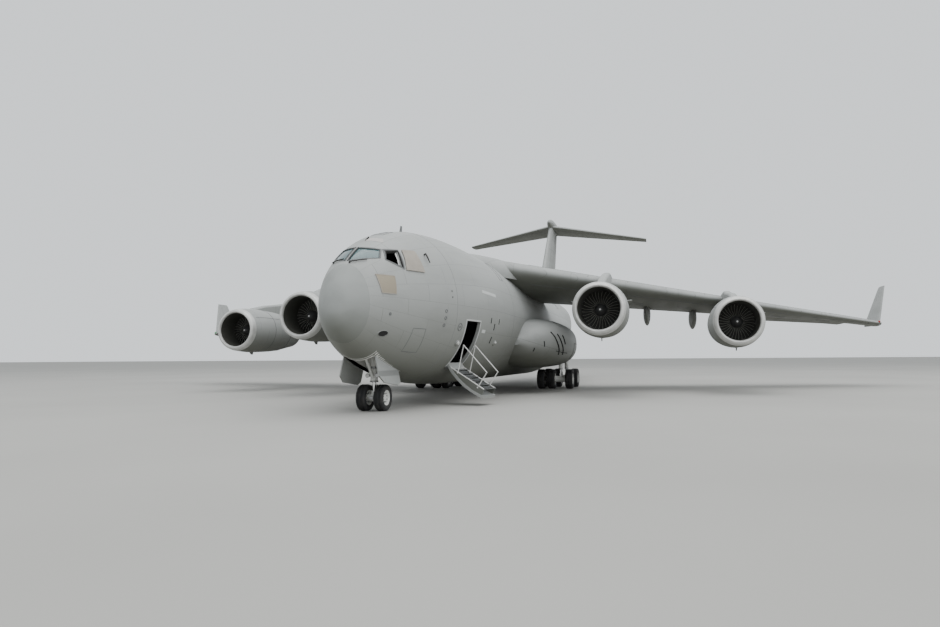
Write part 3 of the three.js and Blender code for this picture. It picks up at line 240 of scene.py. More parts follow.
def smooth_line(points, steps=6):
    """A rounded line through a profile's points."""
    points = np.asarray(points, float)
    far = np.concatenate([[0], np.cumsum(np.linalg.norm(np.diff(points, axis=0), axis=1))])
    table = np.column_stack([far, points])
    places = [mix(a, b, k / steps) for a, b in zip(far, far[1:]) for k in range(steps)]
    return [tuple(curve_through(table, place)) for place in [*places, far[-1]]]


def turned(profile, centre, sides=48, axis="y", closed=False):
    """A profile of radius and distance, turned about a line along x, y or z."""
    angles = round_angles(sides)
    c, s = np.cos(angles), np.sin(angles)
    rings = []
    for radius, far in [*profile, profile[0]] if closed else profile:
        columns = [radius * c, radius * s]
        columns.insert("xyz".index(axis), np.full(sides, float(far)))
        rings.append(np.column_stack(columns) + centre)
    return loft(rings, capped=False)


def tube(path, radius, sides=10):
    """A round bar along a line of points, closed at its ends. The radius may differ at each point."""
    path = [Vector(p) for p in path]
    radii = radius if hasattr(radius, "__len__") else [radius] * len(path)
    side, rings = None, []
    for i, here in enumerate(path):
        ahead = (path[min(i + 1, len(path) - 1)] - path[max(i - 1, 0)]).normalized()
        if side is None:
            side = ahead.orthogonal().normalized()
        side = (side - ahead * side.dot(ahead)).normalized()
        other = ahead.cross(side)
        angles = round_angles(sides)
        rings.append([here + radii[i] * (math.cos(a) * side + math.sin(a) * other) for a in angles])
    return loft(rings)


def plate(outline, place, low, high):
    """A flat outline between two levels: place(a, b, level) gives each corner."""
    return loft([[place(a, b, level) for a, b in outline] for level in (low, high)])


def from_front(x, z, y):
    return x, y, z


def from_side(y, z, x):
    return x, y, z


def from_above(x, y, z):
    return x, y, z


def linked(name, data):
    made = bpy.data.objects.new(name, data)
    bpy.context.scene.collection.objects.link(made)
    return made


def clean_mesh(name, shape, materials=(), looks=()):
    """A mesh with doubled points merged and its faces turned outward."""
    mesh = bpy.data.meshes.new(name)
    mesh.from_pydata([tuple(p) for p in shape[0]], [], shape[1])
    for material in materials:
        mesh.materials.append(material)
    if looks:
        mesh.polygons.foreach_set("material_index", looks)
    tidy = bmesh.new()
    tidy.from_mesh(mesh)
    bmesh.ops.remove_doubles(tidy, verts=tidy.verts, dist=1e-5)
    bmesh.ops.recalc_face_normals(tidy, faces=tidy.faces)
    tidy.to_mesh(mesh)
    tidy.free()
    return mesh


def carved(shape, tool, operation="DIFFERENCE"):
    """A shape less another one, or what the two share."""
    base, cutter = [linked("shape", clean_mesh("shape", each)) for each in (shape, tool)]
    change = base.modifiers.new("carve", "BOOLEAN")
    change.operation, change.solver, change.object = operation, "EXACT", cutter
    graph = bpy.context.evaluated_depsgraph_get()
    mesh = bpy.data.meshes.new_from_object(base.evaluated_get(graph))
    result = np.array([v.co for v in mesh.vertices]), [tuple(p.vertices) for p in mesh.polygons]
    used = [mesh, base.data, cutter.data]
    for made in (base, cutter):
        bpy.data.objects.remove(made)
    for data in used:
        bpy.data.meshes.remove(data)
    return result


def shared(shape, tool):
    return carved(shape, tool, "INTERSECT")


def piece(name, parts, body="airframe", slot="skin", replaces=(), crease=32, bevel=0.0):
    """One object from parts, each a shape or a list of shapes with its material."""
    parts = [(as_one(shape), look) for shape, look in parts]
    points, faces = joined(*[shape for shape, _ in parts])
    materials = list(dict.fromkeys(material for _, material in parts))
    looks = [materials.index(material) for shape, material in parts for _ in shape[1]]
    mesh = clean_mesh(name, (to_frame(points), faces), materials, looks)
    mesh.shade_smooth()
    mesh.set_sharp_from_angle(angle=math.radians(crease))
    made = linked(name, mesh)
    if bevel:
        edge = made.modifiers.new("edges", "BEVEL")
        edge.width, edge.segments, edge.limit_method = bevel * SCALE, 3, "ANGLE"
        edge.angle_limit, edge.harden_normals = math.radians(40), True
    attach(made, body)
    if replaces:
        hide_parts(*replaces)


def stand_in(node, parts, **rest):
    """A piece that is shown in one solid's place."""
    piece(f"{node}_skin", parts, replaces=[node], **rest)


def pair(name, parts, body="airframe", solid=True, **rest):
    """A piece on each side, in a solid's place if it has one. {side} in the body is port or starboard."""
    for side in ("port", "starboard"):
        there = parts if side == "port" else [(mirrored(as_one(shape)), look) for shape, look in parts]
        node = f"{name}_{side}"
        piece(f"{node}_skin", there, body=body.format(side=side), replaces=[node] if solid else (), **rest)


# Materials


class Look:
    """A material's node tree, built one node at a time."""

    def __init__(self, name):
        self.material = bpy.data.materials.new(name)
        self.material.use_nodes = True
        self.nodes, self.links = self.material.node_tree.nodes, self.material.node_tree.links
        self.shader = self.nodes["Principled BSDF"]
        self.place = self.node("ShaderNodeTexCoord").outputs["Object"]

    def node(self, kind, *values, **inputs):
        made = self.nodes.new(kind)
        for key, value in [*enumerate(values), *inputs.items()]:
            self.feed(made, key, value)
        return made

    def feed(self, node, key, value):
        if isinstance(value, bpy.types.NodeSocket):
            self.links.new(value, node.inputs[key])
        else:
            node.inputs[key].default_value = value

    def math(self, operation, a, b=0.0):
        node = self.node("ShaderNodeMath", a, b)
        node.operation = operation
        return node.outputs[0]

    def noise(self, scale, detail=4.0, stretch=(1, 1, 1)):
        mapped = self.node("ShaderNodeMapping", Vector=self.place, Scale=stretch).outputs[0]
        return self.node("ShaderNodeTexNoise", Vector=mapped, Scale=scale, Detail=detail).outputs["Fac"]

    def ranged(self, value, low, high, out_low, out_high):
        return self.node("ShaderNodeMapRange", value, low, high, out_low, out_high).outputs[0]

    def mixed(self, share, a, b):
        node = self.nodes.new("ShaderNodeMix")
        node.data_type = "RGBA"
        for key, value in ((0, share), (6, a), (7, b)):
            self.feed(node, key, value)
        return node.outputs[2]

    def bump(self, height, strength, distance=0.004):
        node = self.node("ShaderNodeBump", Height=height, Strength=strength, Distance=distance)
        self.feed(self.shader, "Normal", node.outputs[0])

    def finish(self, colour, rough, metal=0.0):
        for key, value in (("Base Color", colour), ("Roughness", rough), ("Metallic", metal)):
            self.feed(self.shader, key, value)
        return self.material


def shade(colour, by):
    return (*[min(1, c * by) for c in colour[:3]], 1)


def painted(name, colour, layout, centre=(0, 0), width=1.3, height=0.62, rough=0.6, seams=0.5):
    """Matte paint on panels that lie round the y axis, or seen from above or from the side.

    Wear and streaks run along the stream, with fine seams between the panels. Faces turned down get painted
    shade.
    """
    look = Look(name)
    axes = look.node("ShaderNodeSeparateXYZ", look.place).outputs
    if layout == "round":
        out, up = look.math("SUBTRACT", axes[0], centre[0]), look.math("SUBTRACT", axes[2], centre[1])
        along = look.math("MULTIPLY", look.math("ARCTAN2", up, out), 1.7)
    else:
        along = axes[0] if layout == "above" else axes[2]
    flat = look.node("ShaderNodeCombineXYZ", axes[1], along).outputs[0]
    bricks = {
        "Vector": flat, "Scale": 1.0, "Mortar Size": 0.005, "Mortar Smooth": 0.3, "Bias": 0.0,
        "Brick Width": width, "Row Height": height, "Color1": shade(colour, 1.03),
        "Color2": shade(colour, 0.965), "Mortar": shade(colour, 1 - seams),
    }
    brick = look.node("ShaderNodeTexBrick", **bricks)
    brick.offset, brick.squash = 0.5, 1.0
    cloud = look.noise(0.35, 5.0)
    streak = look.noise(2.6, 5.0, (1.0, 0.12, 1.0))
    grain = look.noise(60, 3.0)
    toned = look.mixed(look.ranged(cloud, 0.3, 0.7, 0.0, 0.6), brick.outputs["Color"], shade(colour, 0.82))
    worn_and_shaded = look.mixed(look.ranged(streak, 0.48, 0.75, 0.0, 0.45), toned, shade(colour, 0.72))
    # Painted shade: the more a face turns down, the more its colour mixes toward a dark olive grey,
    # standing for the plane's own shadow.
    normal = look.node("ShaderNodeNewGeometry").outputs["Normal"]
    facing_up = look.node("ShaderNodeSeparateXYZ", normal).outputs[2]
    painted_underside_shade = look.ranged(facing_up, -0.9, 0.15, 0.9, 0.0)
    worn_and_shaded = look.mixed(painted_underside_shade, worn_and_shaded, shade((colour[0], colour[1], colour[2] * 0.84), 0.36))
    look.bump(look.math("SUBTRACT", look.math("MULTIPLY", grain, 0.12), brick.outputs["Fac"]), 0.35)
    return look.finish(worn_and_shaded, look.ranged(streak, 0.3, 0.7, rough - 0.07, rough + 0.1))


def metal(name, colour, rough=0.35, metallic=1.0):
    look = Look(name)
    grain = look.noise(40, 5.0)
    spots = look.noise(6, 5.0)
    tone = look.mixed(look.ranged(spots, 0.35, 0.7, 0.0, 0.6), shade(colour, 1.05), shade(colour, 0.7))
    look.bump(grain, 0.15, 0.002)
    return look.finish(tone, look.ranged(grain, 0.3, 0.7, rough - 0.08, rough + 0.12), metallic)


def rubber(name, colour=(0.018, 0.018, 0.019, 1)):
    look = Look(name)
    dust = look.noise(9, 6.0)
    tone = look.mixed(look.ranged(dust, 0.45, 0.75, 0.0, 0.5), colour, (0.075, 0.07, 0.062, 1))
    look.bump(look.noise(160, 3.0), 0.35, 0.002)
    return look.finish(tone, look.ranged(dust, 0.3, 0.7, 0.72, 0.9))


def cloth(name, colour):
    """A woven cover, its threads crossing on the surface."""
    look = Look(name)
    weave = [look.node("ShaderNodeTexWave", Vector=look.place, Scale=120.0) for _ in range(2)]
    weave[1].bands_direction = "Z"
    threads = look.math("MULTIPLY", weave[0].outputs["Fac"], weave[1].outputs["Fac"])
    folds = look.noise(3, 4.0)
    tone = look.mixed(look.ranged(folds, 0.3, 0.7, 0.0, 0.7), shade(colour, 1.1), shade(colour, 0.75))
    look.bump(look.math("ADD", look.math("MULTIPLY", threads, 0.3), folds), 0.5, 0.01)
    return look.finish(tone, look.ranged(folds, 0.3, 0.7, 0.8, 0.92))


def glazed(name, colour):
    look = Look(name)
    smears = look.noise(5, 5.0)
    tone = look.mixed(look.ranged(smears, 0.4, 0.7, 0.0, 0.5), colour, shade(colour, 1.5))
    look.shader.inputs["IOR"].default_value = 1.5
    look.shader.inputs["Transmission Weight"].default_value = 0.35
    return look.finish(tone, look.ranged(smears, 0.3, 0.7, 0.05, 0.14))


def matte(name, colour, rough=0.8, grain_scale=30):
    """A plain painted surface with a little grain and grime."""
    look = Look(name)
    grain = look.noise(grain_scale, 4.0)
    grime = look.noise(1.5, 5.0)
    tone = look.mixed(look.ranged(grime, 0.4, 0.7, 0.0, 0.5), shade(colour, 1.05), shade(colour, 0.75))
    look.bump(grain, 0.15, 0.003)
    return look.finish(tone, look.ranged(grain, 0.3, 0.7, rough - 0.06, rough + 0.06))


GREY = (0.335, 0.345, 0.335, 1)
BODY_PAINT = painted("body_paint", GREY, "round", (0, 2.1), 1.2, 0.55)
# The radome's grey is darker than the body's: partly its own paint, partly painted shade for the nose
# turned away from the light.
RADOME_PAINT_AND_SHADE = painted("radome_paint_and_shade", (0.292, 0.305, 0.295, 1), "round", (0, 1.94), 9.0, 9.0, 0.66, 0.1)
WING_PAINT = painted("wing_paint", shade(GREY, 0.93), "above", (0, 0), 0.9, 1.5)
FIN_PAINT = painted("fin_paint", shade(GREY, 0.97), "side", (0, 0), 0.85, 0.9)
NACELLE_PAINT = {
    name: painted(f"nacelle_paint_{name}", shade(GREY, 0.98), "round", (x * SCALE, z * SCALE), 0.8, 1.1)
    for name, (x, z, _) in ENGINES.items()
}
LIP_METAL = metal("lip_metal", (0.55, 0.55, 0.53, 1), 0.4, metallic=0.35)
# The duct liner is near-black: a dark liner, made darker still as painted shade for the inside of the
# inlet.
SHADED_DUCT_LINER = matte("shaded_duct_liner", (0.04, 0.04, 0.034, 1), 0.6, 120)
CORE_METAL = metal("core_metal", (0.16, 0.15, 0.14, 1), 0.42)
# The fan blades are near-black: painted shade for the fan deep in the inlet. Their pale leading edges are
# painted highlights, standing for the glints along the blades.
SHADED_BLADE_METAL = matte("shaded_blade_metal", (0.03, 0.03, 0.027, 1), 0.5, 40)
BLADE_EDGE_HIGHLIGHT = matte("blade_edge", (0.3, 0.3, 0.27, 1), 0.4, 40)
SPINNER_PAINT = matte("spinner_paint", (0.05, 0.05, 0.05, 1), 0.5, 40)
PALE_PAINT = matte("pale_paint", (0.62, 0.62, 0.6, 1), 0.5, 40)
GEAR_PAINT = matte("gear_paint", (0.68, 0.68, 0.65, 1), 0.42, 60)
CHROME = metal("polished_steel", (0.75, 0.75, 0.75, 1), 0.12)
STEEL = metal("plain_steel", (0.3, 0.3, 0.3, 1), 0.4)
TYRE_RUBBER = rubber("tyre_rubber")
SEAL_RUBBER = rubber("seal_rubber", (0.03, 0.03, 0.03, 1))
GLASS = glazed("cockpit_glass", (0.1, 0.17, 0.18, 1))
# Near-black: painted shade for the inside of holes, slits and openings, and the colour of dark seams.
OPENING_SHADE_AND_SEAMS = matte("opening_shade_and_seams", (0.012, 0.012, 0.012, 1), 0.9)
STAIR_PAINT = matte("stair_paint", (0.12, 0.125, 0.11, 1), 0.5, 20)
LAMP_RED = glazed("lamp_red", (0.4, 0.02, 0.02, 1))
LAMP_GREEN = glazed("lamp_green", (0.02, 0.3, 0.08, 1))
MARK_GREY = matte("mark_grey", (0.13, 0.135, 0.135, 1), 0.7)
BROW_PATCH = matte("brow_patch", (0.42, 0.4, 0.385, 1), 0.6)
SEAM_GREY = matte("seam_grey", (0.21, 0.215, 0.21, 1), 0.7)
PALE_PATCH = matte("pale_patch", (0.5, 0.51, 0.5, 1), 0.6)
COVER_CLOTH = cloth("cover_cloth", (0.33, 0.3, 0.26, 1))
BEIGE_PATCH = matte("beige_patch", (0.27, 0.235, 0.175, 1), 0.6)
CABIN_PAINT = matte("cabin_paint", (0.045, 0.05, 0.055, 1), 0.8)
FLOOR_METAL = metal("floor_metal", (0.16, 0.165, 0.165, 1), 0.6, metallic=0.5)


# Body


def ring_at(y, inset=0.0, sides=BODY_SIDES):
    half, crown, keel, waist = section_at(y)
    angles = round_angles(sides)
    sines = np.sin(angles)
    high = np.maximum(np.where(sines > 0, crown - waist, waist - keel) - inset, 0.001)
    reach = max(half - inset, 0.001)
    return np.column_stack([reach * np.cos(angles), np.full(sides, y), waist + high * sines])


# How far apart the body's stations are, up to each place
STATION_STEPS = [(7, 0.12), (12, 0.25), (30.5, 1.0), (BODY_END, 0.25)]


def stations(start, end):
    """Stations close together where the body curves, and the ends of the stretch."""
    places, y = [start], start
    while True:
        y += 0.008 + 0.1 * y if y < RADOME_END else next(step for place, step in STATION_STEPS if y < place)
        if y > end - 0.02:
            return [*places, end]
        places.append(y)


def hull(start, end, inset=0.0, sides=BODY_SIDES):
    return loft([ring_at(y, inset, sides) for y in stations(start, end)])


def wall(start, end):
    """The body's skin with its thickness, open at both ends."""
    outer, inner = [[ring_at(y, inset) for y in stations(start, end)] for inset in (0, WALL)]
    return loft([*outer, *reversed(inner), outer[0]], capped=False)


def reach_at(y, z):
    """Half width of the body, its height from the widest line on the side of z, and that line's height."""
    half, crown, keel, waist = section_at(y)
    return half, crown - waist if z > waist else waist - keel, waist


def skin_x(y, z):
    """Half width of the body at a station and height."""
    half, high, waist = reach_at(y, z)
    share = min(abs(z - waist) / high, 1)
    return half * math.sqrt(1 - share * share)


def skin_y(x, z):
    """Station where the body's skin ahead passes a place seen from the front."""
    near, far = 0.0, 9.0
    for _ in range(30):
        y = (near + far) / 2
        half, high, waist = reach_at(y, z)
        inside = (x / half) ** 2 + ((z - waist) / high) ** 2 < 1
        near, far = (near, y) if inside else (y, far)
    return far


def skin_normal(point, step=0.02):
    """The direction out of the body's skin at a point on it."""

    def depth(x, y, z):
        half, high, waist = reach_at(y, z)
        return (x / half) ** 2 + ((z - waist) / high) ** 2

    shifts = np.eye(3) * step
    return Vector([depth(*(point + shift)) - depth(*(point - shift)) for shift in shifts]).normalized()


def off_skin(x, y, z, out):
    """A point on the body's skin, moved straight out from it."""
    return Vector((x, y, z)) + skin_normal(np.array((x, y, z))) * out


def on_side(y, z, out=0.0):
    """A point on the port side, or a little out from it."""
    return off_skin(skin_x(y, z), y, z, out)


def on_front(x, z, out=0.0):
    """A point on the front of the nose, or a little out from it."""
    return off_skin(x, skin_y(x, z), z, out)


def patch(corners, on_skin, low, high, steps=8):
    """A thin plate that follows the skin between four corners, from one level above it to another."""
    a, b, c, d = np.asarray(corners, float)
    n = steps + 1
    shares = [k / steps for k in range(n)]
    grid = [mix(mix(a, b, u), mix(d, c, u), v) for u in shares for v in shares]
    points = [tuple(on_skin(*place, level)) for level in (low, high) for place in grid]
    firsts = [start + i * n + k for start in (0, n * n) for i in range(steps) for k in range(steps)]
    faces = [(i, i + 1, i + n + 1, i + n) for i in firsts]
    rim = [i * n for i in range(n)] + [steps * n + k for k in range(1, n)]
    rim += [i * n + steps for i in range(steps - 1, -1, -1)] + list(range(steps - 1, 0, -1))
    faces += [(i, j, j + n * n, i + n * n) for i, j in zip(rim, rim[1:] + rim[:1])]
    return np.array(points), faces


def frame_round(corners, on_skin, wide, low, high, steps=8):
    """A band round four corners on the skin."""
    corners = np.asarray(corners, float)
    middle = corners.mean(axis=0)
    rings = []
    for grow, level in ((0, low), (0, high), (wide, high), (wide, low), (0, low)):
        ring = []
        for a, b in zip(corners, np.roll(corners, -1, axis=0)):
            for k in range(steps):
                place = mix(a, b, k / steps)
                away = place - middle
                ring.append(on_skin(*(place + grow * away / np.linalg.norm(away)), level))
        rings.append(ring)
    return loft(rings, capped=False)


# Windows: across and up on the front, else station and height on the side
WINDSHIELD = [(0.06, 5.48), (0.88, 5.66), (0.74, 6.02), (0.06, 6.06)]
SIDE_WINDOW = [(1.98, 5.62), (2.26, 6.02), (2.86, 6.1), (2.61, 5.36)]
REAR_WINDOW = [(2.75, 5.36), (3.06, 6.06), (3.64, 6.12), (3.58, 5.38)]
WINDOW_BANDS = [(0.045, -0.02, 0.012), (0.03, -0.1, -0.025)]
WINDOW_SASH = [(2.7, 5.99), (2.6, 5.72), (2.5, 5.46)]
WINDOW_COVER = [(2.68, 5.3), (3.03, 6.12), (3.72, 6.18), (3.68, 5.32)]
WIPERS = [((0.16, 5.38), (0.62, 5.52)), ((-0.62, 5.42), (-0.1, 5.5))]
FRONT_CUT, SIDE_CUT = (0.6, 3.0), (0.6, 4.0)


def window_holes():
    front = plate(WINDSHIELD, from_front, *FRONT_CUT)
    sides = [plate(outline, from_side, *SIDE_CUT) for outline in (SIDE_WINDOW, REAR_WINDOW)]
    return [both_sides(hole) for hole in (front, *sides)]


def make_nose():
    stand_in("radome", [(hull(0.002, RADOME_END), RADOME_PAINT_AND_SHADE)], slot="radome")
    bay_low = (-BAY_HALF, NOSE_Y - BAY_AHEAD, 0.5)
    bay_high = (BAY_HALF, NOSE_Y + BAY_BEHIND, BAY_ROOF)
    bay = block(bay_low, bay_high)
    grown = block([c - BAY_WALL for c in bay_low], [c + BAY_WALL for c in bay_high])
    lining = carved(shared(hull(RADOME_END, COCKPIT_END), grown), bay)
    skin = carved(wall(RADOME_END + 0.003, COCKPIT_END), bay)
    for hole in window_holes():
        skin = carved(skin, hole)
    stand_in("nose_section", [(skin, BODY_PAINT), (lining, GEAR_PAINT)], crease=28)
    seam = [(0.79, 0.012), (0.79, 0.03), (0.812, 0.03), (0.812, 0.012)]
    piece("radome_seam", [(loft([ring_at(y, inset) for y, inset in seam]), SEAL_RUBBER)], slot="radome")


def make_windows():
    glass, frames = [], []
    for outline, on_skin in ((WINDSHIELD, on_front), (SIDE_WINDOW, on_side), (REAR_WINDOW, on_side)):
        pane = patch(outline, on_skin, -0.06, -0.03, 10)
        glass += [mirrored(pane)] if outline is SIDE_WINDOW else [pane, mirrored(pane)]
        frames += [both_sides(frame_round(outline, on_skin, *band)) for band in WINDOW_BANDS]
    piece("window_panes", [(glass, GLASS)], slot="glass", replaces=["cockpit_glass"])
    piece("window_frames", [(frames, MARK_GREY)], slot="cabin")
    centre = tube([on_front(0, z, -0.01) for z in np.linspace(5.44, 6.1, 8)], 0.02, 8)
    bars = [tube([on_front(x, z) for z in np.linspace(5.46, 6.08, 8)], 0.024, 8) for x in (-0.06, 0.06)]
    piece("windshield_post", [(centre, BODY_PAINT), (bars, SEAL_RUBBER)])
    sleeve = frame_round(SIDE_WINDOW, on_side, -0.035, -0.13, 0.006)
    sash = tube([on_side(y, z, -0.07) for y, z in WINDOW_SASH], 0.026, 8)
    piece("side_window_sash", [(sleeve, SEAL_RUBBER), (sash, PALE_PAINT)], slot="cabin")
    wipers = []
    for pivot, tip in WIPERS:
        line = [mix(np.array(pivot), np.array(tip), t) for t in np.linspace(0, 1, 6)]
        wipers.append(tube([on_front(x, z, 0.05) for x, z in line], 0.022, 6))
        foot = [(0, -0.03), (0.035, -0.03), (0.03, 0.05), (0, 0.06)]
        wipers.append(turned(foot, on_front(*pivot), 12, "z"))
    piece("wipers", [(wipers, SEAL_RUBBER)], slot="gear_paint")
    piece("window_cover", [(patch(WINDOW_COVER, on_side, 0.02, 0.045, 12), COVER_CLOTH)], slot="cabin")


# The crew door's frame: outward, aft along the hinge, and up
DOOR_ENDS = [Vector((skin_x(y, DOOR_SILL) + DOOR_PROUD, y, DOOR_SILL)) for y in (DOOR_FROM, DOOR_TO)]
DOOR_MIDDLE = (DOOR_ENDS[0] + DOOR_ENDS[1]) / 2
DOOR_ALONG = (DOOR_ENDS[1] - DOOR_ENDS[0]).normalized()
DOOR_OUT = DOOR_ALONG.cross(Vector((0, 0, 1)))
DOOR_HALF = (DOOR_ENDS[1] - DOOR_ENDS[0]).length / 2
DOOR_TALL = DOOR_HEAD - DOOR_SILL


def door_place(out, aft, up):
    return DOOR_MIDDLE + DOOR_OUT * out + DOOR_ALONG * aft + Vector((0, 0, up))


def door_block(low, high):
    return placed(block(low, high), lambda point: door_place(*point))


def make_forward():
    doorway = door_block((-1.4, -DOOR_HALF, -GAP), (3, DOOR_HALF, DOOR_TALL))
    skin = carved(wall(COCKPIT_END, FORWARD_END), doorway)
    lugs = [door_block((-0.1, aft - 0.03, -0.12), (0.03, aft + 0.03, 0.03)) for aft in (-0.6, 0.6)]
    stand_in("forward_fuselage", [(skin, BODY_PAINT), (lugs, STEEL)], crease=28)


# Rails and stair of the let-down door, outward from the sill and up
RAIL = [(1.44, -0.9), (1.87, -0.26), (0.78, 0.9), (0.5, -0.28)]
RAIL_RADIUS, RAIL_SOCKET = 0.022, [(0, -0.03), (0.04, -0.02), (0.04, 0.04), (0, 0.05)]
STAIR_FROM, STAIR_TO, STAIR_TREADS = (0.1, -0.01), (1.74, -0.97), 6
STRINGER, STAIR_INSET, HINGE_INSET = 0.04, 0.06, 0.05
RIM_WIDE, RIM_OUT, RIM_DEEP = 0.06, 0.012, 0.03
BALL = [(0.024 * math.cos(a), 0.024 * math.sin(a)) for a in np.linspace(-math.pi / 2, math.pi / 2, 7)]
DOOR_TURN = Matrix.Rotation(math.radians(DOOR_OPEN), 3, "Y")


def door_inside(up):
    """Outward distance and height of the let-down door's upper face, at a height on the shut door."""
    far = skin_x(DOOR_MIDDLE.y, DOOR_SILL + up) - DOOR_MIDDLE.x
    place = DOOR_TURN @ Vector((far - DOOR_THICK, 0, up))
    return place.x, place.z


def make_stair(side):
    """The let-down door's steps between two stringers, as parts of the door."""
    curve = [door_inside(up) for up in np.linspace(0.1, 1.84, 10)]
    outline = [(a, b - 0.015) for a, b in curve] + [STAIR_TO, STAIR_FROM]
    stringers, edges, treads, grips = [], [], [], []
    for low, high in ((-side, STRINGER - side), (side - STRINGER, side)):
        stringers.append(plate(outline, lambda out, up, aft: door_place(out, aft, up), low, high))
        middle = (low + high) / 2
        edges.append(tube([door_place(out, middle, up) for out, up in (STAIR_FROM, STAIR_TO)], 0.026, 8))
    for k in range(STAIR_TREADS):
        share = (k + 0.7) / STAIR_TREADS
        out, up = [mix(near, far, share) for near, far in zip(STAIR_FROM, STAIR_TO)]
        for reach, low, high in ((0.12, -0.05, -0.02), (-0.115, -0.02, 0.06)):
            corner = (out + reach, side - 0.02, up + high)
            treads.append(door_block((out - 0.13, 0.02 - side, up + low), corner))
        for near in (out - 0.1 + 0.045 * line for line in range(5)):
            grips.append(door_block((near, 0.1 - side, up - 0.022), (near + 0.018, side - 0.1, up - 0.014)))
    return [(stringers, STAIR_PAINT), (edges, PALE_PAINT), (treads, FLOOR_METAL), (grips, SEAL_RUBBER)]


def make_rails(side):
    rails = []
    for aft in (-side, side):
        low, knee, head, heel = [door_place(out, aft, up) for out, up in RAIL]
        rails += [tube(line, RAIL_RADIUS, 12) for line in ([low, knee], [knee, head], [heel, head])]
        rails += [turned(BALL, corner, 12, "z") for corner in (knee, head)]
        rails += [turned(RAIL_SOCKET, foot, 12, "z") for foot in (low, heel)]
    return rails


def make_crew_door():
    edge = DOOR_HALF - GAP
    shut = shared(hull(COCKPIT_END, FORWARD_END), door_block((-3, -edge, 0.02), (3, edge, DOOR_TALL - GAP)))
    panel = carved(shut, hull(COCKPIT_END - 1, FORWARD_END + 1, DOOR_THICK))
    hinge_end = DOOR_HALF - HINGE_INSET
    web = door_block((-0.1, -hinge_end, GAP), (0, hinge_end, 0.06))
    door = turned_about(joined(panel, web), DOOR_MIDDLE, DOOR_ALONG, DOOR_OPEN)
    side = DOOR_HALF - STAIR_INSET
    pin = tube([door_place(0, -hinge_end, 0), door_place(0, hinge_end, 0)], 0.04, 14)
    parts = [(door, BODY_PAINT), *make_stair(side), (make_rails(side - 0.02), PALE_PAINT), (pin, STEEL)]
    stand_in("crew_door", parts, body="crew_door_stair")
    wide = DOOR_HALF + RIM_WIDE
    outside = door_block((-1, -wide, 0), (3, wide, DOOR_TALL + RIM_WIDE))
    rim = shared(hull(COCKPIT_END, FORWARD_END, -RIM_OUT), outside)
    rim = carved(rim, door_block((-2, -DOOR_HALF, -1), (4, DOOR_HALF, DOOR_TALL)))
    rim = carved(rim, hull(COCKPIT_END - 1, FORWARD_END + 1, RIM_DEEP))
    piece("doorway_rim", [(rim, PALE_PATCH)])


def mouth(start, end, edge, high):
    """A block as wide as the opening under the tail, and an edge more."""
    ends = []
    for y in (start, end):
        share = max(0, y - RAMP_END) / (MOUTH_END - RAMP_END)
        ends.append((edge + mix(MOUTH_HALF, MOUTH_AFT_HALF, share), y))
    (near, y0), (far, y1) = ends
    return plate([(-near, y0), (near, y0), (far, y1), (-far, y1)], from_above, 0, high)


RAMP_SIDE = [
    (31.012, 0), (36.955, 0), (36.955, 2.08), (36.79, 2.42), (36.6, 2.9), (36.45, 3.3), (31.012, 3.3),
]
RAMP_HIGH, MOUTH_HIGH = 3.6, 5.6
RAMP_TOP = [(31.0, 0), (31.0, 1.63), (36.6, 2.9), (36.955, 2.9), (36.955, 0)]
CARGO_ARM = [
    (41.3, 3.75), (42.14, 4.05), (42.3, 4.5), (42.26, 4.62), (42.12, 4.66), (41.8, 4.5), (41.2, 4.0),
]
CARGO_ARM_SIDES = 0.92, 0.99


def make_aft():
    stand_in("centre_fuselage", [(wall(FORWARD_END, AFT_START), BODY_PAINT)])
    skin = carved(wall(AFT_START, TAIL_CONE_START), mouth(RAMP_START, RAMP_END, GAP, RAMP_HIGH))
    skin = carved(skin, mouth(RAMP_END, MOUTH_END + GAP, GAP, MOUTH_HIGH))
    stand_in("aft_fuselage", [(skin, BODY_PAINT)], crease=28)
    stand_in("tail_cone", [(hull(TAIL_CONE_START, BODY_END), BODY_PAINT)])

    side, top = [plate(outline, from_side, -MOUTH_HALF, MOUTH_HALF) for outline in (RAMP_SIDE, RAMP_TOP)]
    outer = hull(RAMP_START - 1, MOUTH_END)
    body = shared(shared(outer, mouth(RAMP_START, RAMP_END, 0, RAMP_HIGH)), side)
    wedge = shared(body, top)
    skin = carved(body, hull(RAMP_START - 2, MOUTH_END, SHELL))
    stand_in("ramp", [(wedge, BODY_PAINT), (skin, BODY_PAINT)], body="ramp_panel")

    shell = carved(hull(RAMP_END - 1, MOUTH_END + 1), hull(RAMP_END - 2, MOUTH_END + 2, SHELL))
    door = shared(shell, mouth(RAMP_END + GAP, MOUTH_END, 0, MOUTH_HIGH))
    arm = both_sides(plate(CARGO_ARM, from_side, *CARGO_ARM_SIDES))
    stand_in("cargo_door", [(door, BODY_PAINT), (arm, STEEL)], body="cargo_door_panel")


# Wings and tail


def half_thick(share):
    """Half thickness of a section one chord long at a share of its chord."""
    s = math.sqrt(share)
    return 5 * (0.2969 * s - share * (0.126 + share * (0.3516 - share * (0.2843 - 0.1036 * share))))


